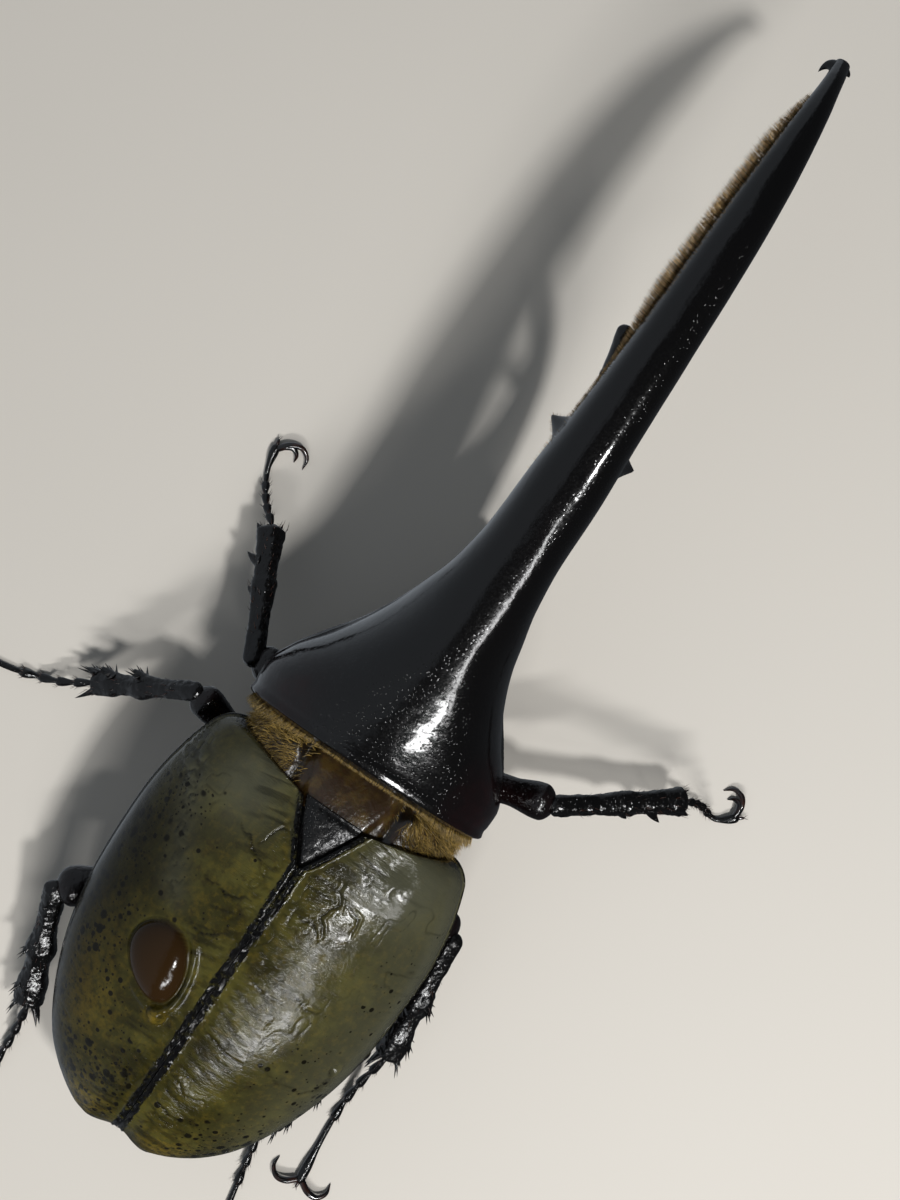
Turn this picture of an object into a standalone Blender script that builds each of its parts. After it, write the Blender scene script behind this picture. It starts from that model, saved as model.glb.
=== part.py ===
"""Hercules beetle, adult male, at life size, standing on a floor at z = 0.

The shapes are worked out in millimetres in the beetle's own frame: x = 0 is the seam between
the wing cases, +X is the beetle's left, the head points to -Y, y = 0 is the front of the wing
cases and z = 0 the floor. One empty then puts the middle of the whole box over the origin. From
the horn's tip to the end of the wing cases it is 181.4 mm long.
"""

import math

import bmesh
import bpy
import numpy as np
from mathutils import Matrix

MM = 0.001
GAP = 0.30  # clear space between neighbouring pieces

BOX_MIDDLE = (5.197, -21.087)  # the middle of the box around body, legs and horn, seen from above

# Wing cases: the dome they share, from above and from the side.
HALF_WIDTH = 24.1
WIDEST_Y = 19.0
APEX_Y = 61.3
SHOULDER_Y = -1.2
SHOULDER_ROUND = 2.6
SHOULDER_NARROWING = 0.175
OUTLINE_POWER = 2.25
DOME_TOP = 32.6
DOME_FRONT_DROP = 2.4
DOME_POWER = 2.4
RIM_FRONT, RIM_MIDDLE, RIM_APEX = 20.0, 16.5, 12.0
SECTION_POWER = 2.15
CASE_THICKNESS = 1.2
CASE_LIP = 1.6
APEX_NOTCH, APEX_NOTCH_HALF = 1.5, 5.5  # each case is rounded off towards the seam at the rear
BODY_INSET = 2.5  # the trunk's skin lies this far inside the wing cases' outer face

# Scutellum: the black triangle between the wing cases.
SCUTELLUM_FRONT, SCUTELLUM_BACK = 1.2, 9.3
SCUTELLUM_HALF = 4.5
SCUTELLUM_THICKNESS = 1.5

# Trunk below the wing cases.
BELLY = 7.6
BELLY_REAR = 10.5
MESO_FRONT, MESO_BACK = -5.6, 2.0
MESO_HALF, MESO_TOP = 16.0, 28.3
META_BACK = 25.0

# Forebody: prothorax and horn are one shape in a frame that is turned about this point.
NECK = (0.0, -3.0, 22.0)
FOREBODY_TURN = (math.radians(4.8), math.radians(-3.0), math.radians(0.6))
HORN_ROOT_Y = -31.0
# Stations along the forebody: y, half width, top, height of the widest point, underside.
FOREBODY = np.array(
    [
        (-4.9, 17.6, 31.6, 20.0, 10.2),
        (-5.8, 19.1, 33.2, 19.6, 9.0),
        (-9.5, 19.4, 35.4, 18.8, 8.0),
        (-13.5, 17.9, 37.2, 18.6, 7.6),
        (-18.0, 15.0, 39.0, 19.5, 7.6),
        (-23.0, 11.45, 40.7, 22.0, 8.4),
        (-27.5, 9.2, 42.1, 25.5, 11.8),
        (-31.0, 7.95, 43.2, 29.5, 19.0),
        (-36.0, 6.4, 44.8, 34.4, 25.4),
        (-43.0, 5.45, 46.9, 38.9, 31.2),
        (-51.0, 5.2, 49.0, 41.9, 35.4),
        (-60.0, 4.55, 50.7, 44.3, 38.4),
        (-72.0, 3.95, 51.7, 46.4, 40.8),
        (-85.0, 3.5, 51.2, 46.9, 41.8),
        (-97.0, 2.95, 49.0, 45.7, 41.2),
        (-108.0, 2.05, 45.0, 42.7, 39.2),
        (-115.2, 1.2, 40.6, 39.2, 36.8),
        (-119.5, 0.65, 36.6, 35.8, 34.6),
    ]
)
HORN_END = (-120.4, 34.4)  # y and z of the point that closes the tip
HORN_TOOTH_Y, HORN_TOOTH_LENGTH = -57.2, 3.6

# Head, under the horn's root, turned a little to the beetle's left.
HEAD_TURN, HEAD_ROLL = math.radians(2.5), math.radians(8.0)
HEAD_PIVOT = (0.0, -27.0, 20.0)
# Stations along the head: y, half width, top, height of the widest point, underside.
HEAD = np.array(
    [
        (-26.0, 5.6, 19.8, 15.5, 10.6),
        (-29.0, 6.3, 21.6, 15.6, 9.6),
        (-33.0, 6.1, 22.4, 15.8, 9.3),
        (-37.0, 5.0, 21.4, 15.6, 9.8),
        (-40.0, 4.3, 18.0, 14.6, 10.6),
        (-42.0, 3.2, 14.9, 13.4, 11.4),
    ]
)
EYE_AT, EYE_RADII = (5.7, -31.6, 15.4), (1.8, 2.2, 2.4)
CEPHALIC_PATH = np.array(
    [(0, -35, 17.6), (0, -42, 19.6), (0, -53, 21), (0, -63, 24), (0, -70.5, 29), (0, -74.6, 34.5)]
)
CEPHALIC_SIDE = (3.1, 2.7, 2.1, 1.7, 1.3, 0.45)
CEPHALIC_DEEP = (4.2, 3.6, 2.9, 2.2, 1.5, 0.45)
CEPHALIC_TEETH = ((-60.5, 3.0, 6.0), (-68.8, 2.0, 3.0))  # y, width of foot, length
FEELER_PATH = np.array(
    [(4.4, -34.0, 12.2), (5.6, -32.4, 10.4), (5.4, -35.0, 8.8), (4.2, -38.0, 8.0), (3.2, -41.0, 7.8)]
)
FEELER_THIN, FEELER_CLUB = 0.28, 0.73  # half widths of its stalk and of its club
JAW_PATH = np.array([(2.0, -38.6, 11.2), (2.2, -41.6, 10.4), (1.3, -43.6, 10.6)])
JAW_HALF = (1.2, 1.25, 1.15, 1.0, 0.8, 0.45)

# Legs: points in the beetle's frame. The tarsus runs from the ankle to the toe.
LEGS = {
    "fore_left": {
        "root": (3.6, -10.6, 8.4), "hip": (10.0, -10.4, 8.6), "knee": (21.7, -7.8, 15.0),
        "ankle": (31.1, -24.7, 6.6), "toe": (37.8, -34.6, 0.95),
        "foot": ((34.2, -27.0, 3.4), (36.9, -30.7, 0.85)),
        "outer": 1, "thick": 1.0, "beads": 0.9, "claws": ((-1, 1.1), (-1, 0.7)),
    },
    "fore_right": {
        "root": (-3.6, -9.8, 8.4), "hip": (-10.0, -9.8, 8.6), "knee": (-25.8, -14.9, 14.4),
        "ankle": (-42.4, -25.7, 6.6), "toe": (-51.2, -27.4, 0.95),
        "foot": ((-45.2, -26.0, 3.2), (-48.6, -25.4, 0.85)),
        "outer": -1, "thick": 1.0, "beads": 0.9, "claws": ((1, 0.95), (1, 0.6)),
    },
    "mid_left": {
        "root": (3.2, 6.0, 7.6), "hip": (8.8, 5.4, 7.4), "knee": (25.8, 0.4, 15.8),
        "ankle": (40.2, 10.0, 4.8), "toe": (60.2, 17.4, 0.95),
        "foot": ((44.5, 13.0, 2.6), (49.8, 15.4, 0.85)),
        "outer": -1, "thick": 1.05, "beads": 1.0, "claws": ((-1, 1.0), (1, 1.0)),
    },
    "mid_right": {
        "root": (-3.2, 6.0, 7.6), "hip": (-8.8, 6.0, 7.4), "knee": (-24.8, 9.6, 13.6),
        "ankle": (-27.6, 31.8, 5.6), "toe": (-28.0, 56.6, 0.95),
        "foot": ((-26.9, 37.4, 2.8), (-26.8, 44.0, 0.85)),
        "outer": 1, "thick": 1.05, "beads": 1.0, "claws": ((-1, 1.0), (1, 1.0)),
    },
    "hind_left": {
        "root": (3.0, 20.6, 7.2), "hip": (8.4, 22.6, 7.0), "knee": (27.0, 36.4, 12.4),
        "ankle": (21.3, 56.0, 5.0), "toe": (20.4, 77.6, 0.95),
        "foot": ((20.9, 60.6, 2.6), (20.7, 66.4, 0.85)),
        "outer": -1, "thick": 1.1, "beads": 1.0, "claws": ((-1, 1.0), (1, 1.0)),
    },
    "hind_right": {
        "root": (-3.0, 20.6, 7.2), "hip": (-8.4, 22.6, 7.0), "knee": (-23.2, 31.0, 10.6),
        "ankle": (-18.4, 50.4, 4.6), "toe": (-22.4, 71.6, 0.95),
        "foot": ((-19.0, 55.4, 2.4), (-20.1, 60.8, 0.85)),
        "outer": 1, "thick": 1.1, "beads": 1.0, "claws": ((-1, 1.0), (1, 1.0)),
    },
}
FEMUR_STATIONS = (0.0, 0.14, 0.28, 0.38, 0.55, 0.72, 0.9, 1.0)
FEMUR_RADII = (2.0, 2.8, 2.5, 2.1, 2.6, 2.8, 2.5, 1.7)
TIBIA_STATIONS = (0.0, 0.08, 0.3, 0.55, 0.62, 0.85, 0.94, 1.0)
TIBIA_RADII = (1.4, 1.6, 1.5, 1.9, 1.65, 1.95, 2.15, 1.7)
# Teeth of a tibia: share of its length, length, lean to the foot, side (outer +1, inner -1), lift.
FORE_TEETH = (
    (0.58, 3.0, 0.7, 1, 0.0), (0.78, 3.0, 0.7, 1, 0.0),
    (0.95, 3.2, 1.2, 1, 0.0), (0.97, 3.6, 2.4, -1, -0.2),
)
REAR_TEETH = (
    (0.55, 2.6, 1.0, 1, 0.2), (0.84, 2.8, 1.2, 1, 0.2), (0.97, 3.2, 2.0, 1, -0.1),
    (0.96, 4.4, 3.2, -1, -0.3), (0.96, 3.4, 2.4, -1, 0.6),
)
TOOTH_FOOT_OUT = 1.15  # from the tibia's axis to the foot of a tooth
SOLE_DEPTH = 0.42  # whatever of a tarsus is lower than this is pressed flat onto the floor
TARSUS_JOINTS = (0.0, 0.15, 0.29, 0.43, 0.57, 1.0)  # ends of the five segments
# Stations along a claw: ahead of the toe, out to its side, and height above the floor.
CLAW_STATIONS = ((0.2, 0.0, 1.0), (1.1, 1.4, 1.3), (1.3, 3.0, 1.2), (0.2, 4.1, 0.8), (-1.4, 4.0, 0.35))
CLAW_RADII = (0.5, 0.5, 0.42, 0.36, 0.26)

FINISHES = {
    "horn_black": ("#0c0a0a", 0.14),
    "leg_black": ("#0d0b0b", 0.22),
    "wing_case_olive": ("#5a5426", 0.25),
    "collar_amber": ("#5d3a12", 0.25),
    "belly_brown": ("#1a0e09", 0.35),
    "eye_black": ("#050404", 0.08),
}


def linear(value):
    """The linear value of one sRGB channel from 0 to 1."""
    return value / 12.92 if value <= 0.04045 else ((value + 0.055) / 1.055) ** 2.4


def finish(name):
    """A Principled material in a finish's colour and roughness."""
    code, roughness = FINISHES[name]
    material = bpy.data.materials.get(name) or bpy.data.materials.new(name)
    material.use_nodes = True
    shader = material.node_tree.nodes["Principled BSDF"]
    channels = [linear(int(code[i : i + 2], 16) / 255) for i in (1, 3, 5)]
    shader.inputs["Base Color"].default_value = (*channels, 1.0)
    shader.inputs["Roughness"].default_value = roughness
    shader.inputs["Metallic"].default_value = 0.0
    return material


def fair(x, stations, values):
    """A monotone cubic curve through the values at the stations, read at x."""
    order = np.argsort(stations)
    xs, ys = np.asarray(stations, float)[order], np.asarray(values, float)[order]
    step = np.diff(xs)
    slope = np.diff(ys) / step
    product = slope[:-1] * slope[1:]
    total = np.where(product > 0, slope[:-1] + slope[1:], 1.0)
    inner = np.where(product > 0, 2 * product / total, 0.0)
    tangent = np.concatenate([slope[:1], inner, slope[-1:]])
    i = np.clip(np.searchsorted(xs, x) - 1, 0, len(step) - 1)
    u = (np.asarray(x, float) - xs[i]) / step[i]
    straight = ys[i] * (1 + 2 * u) * (1 - u) ** 2 + ys[i + 1] * u**2 * (3 - 2 * u)
    bend = step[i] * (tangent[i] * u * (1 - u) ** 2 - tangent[i + 1] * u**2 * (1 - u))
    return straight + bend


def ease(x):
    """0 below 0, 1 above 1 and a smooth step between."""
    u = np.clip(x, 0.0, 1.0)
    return u * u * (3 - 2 * u)


def root(base, power):
    """The outline share of a superellipse whose other share, to its power, is one less base."""
    return np.clip(base, 0.0, 1.0) ** (1 / power)


def dome(y, inset=0.0):
    """Half width, top and rim height of the wing cases' dome at y, or of one that lies inset inside it."""
    back = np.clip((y - WIDEST_Y) / (APEX_Y - inset - WIDEST_Y), 0, 1)
    front = np.clip((WIDEST_Y - y) / (WIDEST_Y - SHOULDER_Y), 0, None)
    half = (HALF_WIDTH - inset) * root(1 - back**OUTLINE_POWER, OUTLINE_POWER)
    half = half * (1 - SHOULDER_NARROWING * front**2.2)
    top = RIM_APEX + (DOME_TOP - inset - RIM_APEX) * root(1 - back**DOME_POWER, 2.0)
    top = top - DOME_FRONT_DROP * front**2
    rim = RIM_FRONT + (RIM_MIDDLE - RIM_FRONT) * ease(y / 25)
    rim = rim + (RIM_APEX - RIM_MIDDLE) * ease((y - 28) / 32)
    return half, top, rim


def scutellum_half(y):
    """Half width of the scutellum at y: a triangle with slightly bowed sides."""
    share = np.clip((y - SCUTELLUM_FRONT) / (SCUTELLUM_BACK - SCUTELLUM_FRONT), 0, 1)
    return SCUTELLUM_HALF * (1 - share) ** 0.9


def wing_case_face(along, around, inset):
    """Points of one wing case's face. Along 0 to 1 runs from its front to the apex, and around 0 to
    1 from the seam over the dome to the rim: sines and cosines of the angle to a power near 1. Past
    1 it drops below the rim as a lip."""
    apex = APEX_Y - inset
    y = SCUTELLUM_FRONT + (apex - SCUTELLUM_FRONT) * (1 - np.cos(math.pi * along)) / 2
    lead = (SHOULDER_Y - SCUTELLUM_FRONT) * (1 - ease((y - SCUTELLUM_FRONT) / 14))
    angle = np.clip(around, 0, 1) * math.pi / 2
    out, up = np.sin(angle) ** (2 / SECTION_POWER), np.cos(angle).clip(0) ** (2 / SECTION_POWER)
    half, _, rim = dome(y + lead, inset)
    _, top, _ = dome(y, inset)
    corner = np.clip((y + lead - SHOULDER_Y) / SHOULDER_ROUND, 0, 1)
    half = half - SHOULDER_ROUND * (1 - np.sqrt(1 - (1 - corner) ** 2)) * (y < WIDEST_Y)
    seam = np.minimum(scutellum_half(y) + GAP, half) * (y < SCUTELLUM_BACK) + GAP / 2
    seam = np.minimum(seam, half)
    lip = np.clip(around - 1, 0, 1)
    x = seam + (half - seam) * out
    notch = APEX_NOTCH * ease((along - 0.6) / 0.35) * (1 - ease(x / APEX_NOTCH_HALF))
    x = x - 0.4 * lip
    return np.stack([x, y + lead * out - notch, rim + (top - rim) * up - CASE_LIP * lip], -1)


def solid(name, points, faces, parent, material):
    """A closed mesh object from points in millimetres."""
    mesh = bpy.data.meshes.new(name)
    faces = [[int(i) for i in face] for face in faces]
    mesh.from_pydata((np.asarray(points) * MM).tolist(), [], faces)
    work = bmesh.new()
    work.from_mesh(mesh)
    bmesh.ops.remove_doubles(work, verts=work.verts, dist=2e-6)
    bmesh.ops.dissolve_degenerate(work, edges=work.edges, dist=1e-6)
    bmesh.ops.recalc_face_normals(work, faces=work.faces)
    work.to_mesh(mesh)
    work.free()
    mesh.shade_smooth()
    mesh.materials.append(finish(material))
    made = bpy.data.objects.new(name, mesh)
    bpy.context.scene.collection.objects.link(made)
    made.parent = parent
    return made


def helper(made):
    """Marks an object as a tool for a Boolean, which isn't part of the beetle."""
    made.hide_render = True
    made.display_type = "WIRE"
    return made


def boolean(piece, tool, operation):
    """Joins or cuts a piece with a tool. The tool's own shapes may cross each other."""
    change = piece.modifiers.new(tool.name, "BOOLEAN")
    change.operation = operation
    change.solver = "EXACT"
    change.use_self = operation == "UNION"
    change.object = tool


def keep_clear(piece, *neighbours):
    """Cuts each neighbour's shape, grown by the gap, out of a piece."""
    for neighbour in neighbours:
        tool = helper(neighbour.copy())
        tool.name = "clearance_" + neighbour.name
        tool.modifiers.clear()
        bpy.context.scene.collection.objects.link(tool)
        grow = tool.modifiers.new("grow", "DISPLACE")
        grow.strength = GAP * 1.15 * MM
        grow.mid_level = 0.0
        boolean(piece, tool, "DIFFERENCE")


def loft(rings, start, end):
    """Points and faces of a skin over rings of equal count, closed by a fan to a point at each end."""
    count, sides = rings.shape[:2]
    points = np.concatenate([rings.reshape(-1, 3), [start], [end]])
    i, j = (a.ravel() for a in np.meshgrid(np.arange(count - 1), np.arange(sides), indexing="ij"))
    after = (j + 1) % sides
    here, ahead = i * sides, (i + 1) * sides
    walls = np.stack([here + j, here + after, ahead + after, ahead + j], 1)
    k = np.arange(sides)
    last = (count - 1) * sides
    first_fan = np.stack([np.full(sides, count * sides), (k + 1) % sides, k], 1)
    last_fan = np.stack([np.full(sides, count * sides + 1), last + k, last + (k + 1) % sides], 1)
    return points, [*walls.tolist(), *first_fan.tolist(), *last_fan.tolist()]


def body_rings(stations, y, sides, lean=0.0, upper=2.2, lower=2.4):
    """Upright superellipse rings at y through stations of half width, top, widest height and
    underside. A lean, in radians, tips each ring's upper end backwards."""
    read = [fair(y, stations[:, 0], stations[:, k])[:, None] for k in (1, 2, 3, 4)]
    half, top, waist, under = read
    angle = (np.arange(sides) + 0.5) * 2 * math.pi / sides
    cos, sin = np.cos(angle), np.sin(angle)
    power = 2 / np.where(sin > 0, upper, lower)
    height = np.sign(sin) * np.abs(sin) ** power * np.where(sin > 0, top - waist, waist - under)
    lean = np.broadcast_to(lean, y.shape)[:, None]
    x = half * np.sign(cos) * np.abs(cos) ** power
    return np.stack([x, y[:, None] + np.sin(lean) * height, waist + np.cos(lean) * height], -1)


def spread(points, count):
    """A smooth path through a few points: count places along a cubic in their running length."""
    points = np.asarray(points, float)
    run = np.concatenate([[0], np.cumsum(np.linalg.norm(np.diff(points, axis=0), axis=1))])
    shares = np.linspace(0, 1, count) if np.isscalar(count) else np.asarray(count)
    at = shares * run[-1]
    slope = np.gradient(points, run, axis=0)
    i = np.clip(np.searchsorted(run, at) - 1, 0, len(run) - 2)
    step = (run[i + 1] - run[i])[:, None]
    u = ((at - run[i])[:, None]) / step
    straight = points[i] * (1 + 2 * u) * (1 - u) ** 2 + points[i + 1] * u**2 * (3 - 2 * u)
    return straight + step * (slope[i] * u * (1 - u) ** 2 - slope[i + 1] * u**2 * (1 - u))


def tube(path, side, deep, sides=8, up=(0, 0, 1), phase=0.5):
    """Rings square to a path, side wide and deep high from their middle, with rounded ends. A phase
    of 0 turns a six-sided tube so that it lies on a flat."""
    path = np.asarray(path, float)
    ahead = np.gradient(path, axis=0)
    ahead /= np.linalg.norm(ahead, axis=1, keepdims=True)
    across = np.cross(ahead, np.asarray(up, float))
    across /= np.linalg.norm(across, axis=1, keepdims=True)
    lift = np.cross(across, ahead)
    angle = (np.arange(sides) + phase) * 2 * math.pi / sides
    side, deep = (np.broadcast_to(v, len(path))[:, None, None] for v in (side, deep))
    rings = path[:, None] + across[:, None] * np.cos(angle)[None, :, None] * side
    rings = rings + lift[:, None] * np.sin(angle)[None, :, None] * deep
    start = path[0] - ahead[0] * side[0, 0, 0] * 0.5
    end = path[-1] + ahead[-1] * side[-1, 0, 0] * 0.5
    return loft(rings, start, end)


def joined(shapes):
    """Several shapes as one list of points and faces."""
    points, faces, count = [], [], 0
    for some, listed in shapes:
        points.append(some)
        faces += [[i + count for i in face] for face in listed]
        count += len(some)
    return np.concatenate(points), faces


def thorn(foot, tip, width, sides=5):
    """A small cone from a sunk foot to a blunt tip."""
    foot, tip = np.asarray(foot, float), np.asarray(tip, float)
    path = np.stack([foot, foot + (tip - foot) * 0.75])
    up = (0, 0, 1) if abs((tip - foot)[2]) < 0.8 * np.linalg.norm(tip - foot) else (0, 1, 0)
    radius = np.array([width, width * 0.45]) / 2
    points, faces = tube(path, radius, radius, sides, up)
    points[-1] = tip
    return points, faces


def make_wing_case(side, parent):
    """One wing case: a shell between an outer dome and the same dome set in by its thickness."""
    along, around = np.linspace(0, 0.97, 14), np.append(np.linspace(0, 1, 9), 1.6)
    s, t = np.meshgrid(along, around, indexing="ij")
    outer, inner = wing_case_face(s, t, 0.0), wing_case_face(s, t, CASE_THICKNESS)
    inner[..., 1] = np.where(s[:, :1] < 0.5, outer[..., 1], inner[..., 1])
    rings = np.concatenate([outer, inner[:, ::-1]], 1)
    rings[..., 0] *= side
    count, sides = rings.shape[:2]
    points, faces = loft(rings, rings[0].mean(0), rings[-1].mean(0))
    faces = faces[: (count - 1) * sides]
    half = len(around)
    for row in (0, (count - 1) * sides):
        caps = [(row + k, row + k + 1, row + sides - 2 - k, row + sides - 1 - k) for k in range(half - 1)]
        faces += caps if row == 0 else [cap[::-1] for cap in caps]
    keep = points[:-2]
    name = "wing_case_left" if side > 0 else "wing_case_right"
    return solid(name, keep, faces, parent, "wing_case_olive")


def make_scutellum(parent):
    """The triangular plate, flush with the dome, with a slightly crowned top."""
    y = np.linspace(SCUTELLUM_FRONT - 0.2, SCUTELLUM_BACK - 1.2, 6)
    half, top = scutellum_half(y)[:, None], dome(y)[1][:, None]
    across = np.array([-1, -0.6, 0, 0.6, 1, 0.9, 0, -0.9])
    rise = np.array([-0.5, -0.12, 0, -0.12, -0.5, -1, -1, -1])
    height = np.where(rise > -1, top + rise * 0.8, top - SCUTELLUM_THICKNESS)
    rings = np.stack([half * across, np.broadcast_to(y[:, None], (6, 8)), height], -1)
    tip = (0, SCUTELLUM_BACK - 0.5, dome(SCUTELLUM_BACK)[1] - 0.7)
    points, faces = loft(rings, rings[0].mean(0), tip)
    return solid("scutellum", points, faces, parent, "leg_black")


def trunk_stations(y, inset=BODY_INSET):
    """Stations of the trunk under the wing cases."""
    half, top, rim = dome(y, inset)
    under = BELLY + (BELLY_REAR - BELLY) * ease((y - 38) / 22)
    under = np.minimum(under, rim - 0.4)
    return np.stack([y, half, top, rim, under], 1)


def make_trunk(parent):
    """Mesothorax with the collar, metathorax and abdomen."""
    y = np.linspace(MESO_FRONT, MESO_BACK, 5)
    still = np.ones(5)
    top = MESO_TOP - 0.06 * (y - MESO_BACK) ** 2
    meso = np.stack([y, MESO_HALF * still, top, 19 * still, (BELLY + 0.8) * still], 1)
    rings = body_rings(meso, y, 18)
    shape = loft(rings, rings[0].mean(0), rings[-1].mean(0))
    front = solid("mesothorax", *shape, parent, "collar_amber")
    y = np.linspace(MESO_BACK + GAP, META_BACK, 8)
    stations = trunk_stations(y)
    stations[:, 1] *= 0.8 + 0.2 * ease((y - MESO_BACK) / 14)
    rings = body_rings(stations, y, 20)
    shape = loft(rings, rings[0].mean(0), rings[-1].mean(0))
    middle = solid("metathorax", *shape, parent, "belly_brown")
    turn = np.linspace(0.09, 0.5, 10) * math.pi
    start, stop = META_BACK + GAP, APEX_Y - BODY_INSET - APEX_NOTCH - GAP
    y = start + (stop - start) * (np.sin(turn) - np.sin(turn[0])) / (1 - np.sin(turn[0]))
    y[-1] = stop - 0.25
    rings = body_rings(trunk_stations(y), y, 20)
    shape = loft(rings, rings[0].mean(0), rings[-1].mean(0))
    back = solid("abdomen", *shape, parent, "belly_brown")
    return front, middle, back


def forebody_lean(y):
    """How far a ring of the horn tips to stay square to the horn's axis, in radians."""
    step = 0.5
    rise = (fair(y - step, *FOREBODY.T[[0, 3]]) - fair(y + step, *FOREBODY.T[[0, 3]])) / (2 * step)
    return np.arctan(rise) * ease((-36 - y) / 22)


def make_forebody(parent):
    """The prothorax and the long horn, cut apart at the horn's root."""
    y = np.concatenate([[-4.9, -5.8], np.arange(-8, -24, -3), [-25.5, -28, HORN_ROOT_Y + GAP / 2]])
    rings = body_rings(FOREBODY, y, 22)
    shape = loft(rings, rings[0].mean(0), rings[-1].mean(0))
    pronotum = solid("pronotum", *shape, parent, "horn_black")
    rear, front = np.arange(-34, -58, -4), np.arange(-60, -110, -7)
    y = np.concatenate([[HORN_ROOT_Y - GAP / 2], rear, front, [-112, -115.5, -118, -119.5]])
    rings = body_rings(FOREBODY, y, 18, forebody_lean(y), 2.0, 1.9)
    horn = solid("thoracic_horn", *loft(rings, rings[0].mean(0), (0, *HORN_END)), parent, "horn_black")
    half, waist = (float(fair(HORN_TOOTH_Y, FOREBODY[:, 0], FOREBODY[:, k])) for k in (1, 3))
    teeth = []
    for side in (-1, 1):
        foot = np.array([side * (half - 1.2), HORN_TOOTH_Y, waist - 1.5])
        teeth.append(thorn(foot, foot + HORN_TOOTH_LENGTH * np.array([side * 0.72, -0.3, -0.62]), 3.0))
    boolean(horn, helper(solid("horn_teeth", *joined(teeth), parent, "horn_black")), "UNION")
    return pronotum, horn


def make_head(parent, forebody):
    """Head, its horn, eyes, feelers and jaws."""
    y = np.linspace(HEAD[0, 0], HEAD[-1, 0], 9)
    rings = body_rings(HEAD, y, 16)
    shape = loft(rings, rings[0].mean(0), (0, HEAD[-1, 0] - 0.7, 13.2))
    head = solid("head", *shape, parent, "leg_black")
    for piece in forebody:
        keep_clear(piece, head)
    path = spread(CEPHALIC_PATH, 13)
    share = np.linspace(0, 1, 6)
    side, deep = (fair(np.linspace(0, 1, 13), share, v) for v in (CEPHALIC_SIDE, CEPHALIC_DEEP))
    horn = solid("cephalic_horn", *tube(path, side, deep, 10), parent, "horn_black")
    teeth = []
    for at, width, length in CEPHALIC_TEETH:
        height = np.interp(-at, -CEPHALIC_PATH[:, 1], CEPHALIC_PATH[:, 2])
        foot = np.array([0, at, height + 0.4])
        teeth.append(thorn(foot, foot + length * np.array([0, 0.25, 0.97]), width))
    boolean(horn, helper(solid("cephalic_teeth", *joined(teeth), parent, "horn_black")), "UNION")
    keep_clear(horn, head)
    for side, word in ((1, "left"), (-1, "right")):
        turn = np.linspace(-1, 1, 9)[1:-1] * math.pi / 2
        angle = np.arange(12) * math.pi / 6
        ball = np.stack(
            [
                EYE_RADII[0] * np.outer(np.cos(turn), np.cos(angle)),
                EYE_RADII[1] * np.outer(np.cos(turn), np.sin(angle)),
                EYE_RADII[2] * np.outer(np.sin(turn), np.ones(12)),
            ],
            -1,
        )
        middle = np.array(EYE_AT) * (side, 1, 1)
        poles = middle + ((0, 0, -EYE_RADII[2]), (0, 0, EYE_RADII[2]))
        eye = solid("eye_" + word, *loft(ball + middle, *poles), parent, "eye_black")
        keep_clear(eye, head, forebody[0])
        half = np.where(np.arange(10) > 6, FEELER_CLUB, FEELER_THIN)
        shape = tube(spread(FEELER_PATH * (side, 1, 1), 10), half, 0.4, 6)
        feeler = solid("antenna_" + word, *shape, parent, "leg_black")
        keep_clear(feeler, head)
        shape = tube(spread(JAW_PATH * (side, 1, 1), 6), np.array(JAW_HALF), 0.8, 8)
        jaw = solid("mandible_" + word, *shape, parent, "leg_black")
        keep_clear(jaw, head)


def leg_axes(leg):
    """Along the tibia, out towards its toothed edge, and up, as unit vectors."""
    ahead = np.subtract(leg["ankle"], leg["knee"])
    ahead = ahead / np.linalg.norm(ahead)
    outer = leg["outer"] * np.array([-ahead[1], ahead[0], 0])
    outer /= np.linalg.norm(outer)
    return ahead, outer, np.cross(outer, ahead) * -leg["outer"]


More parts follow.
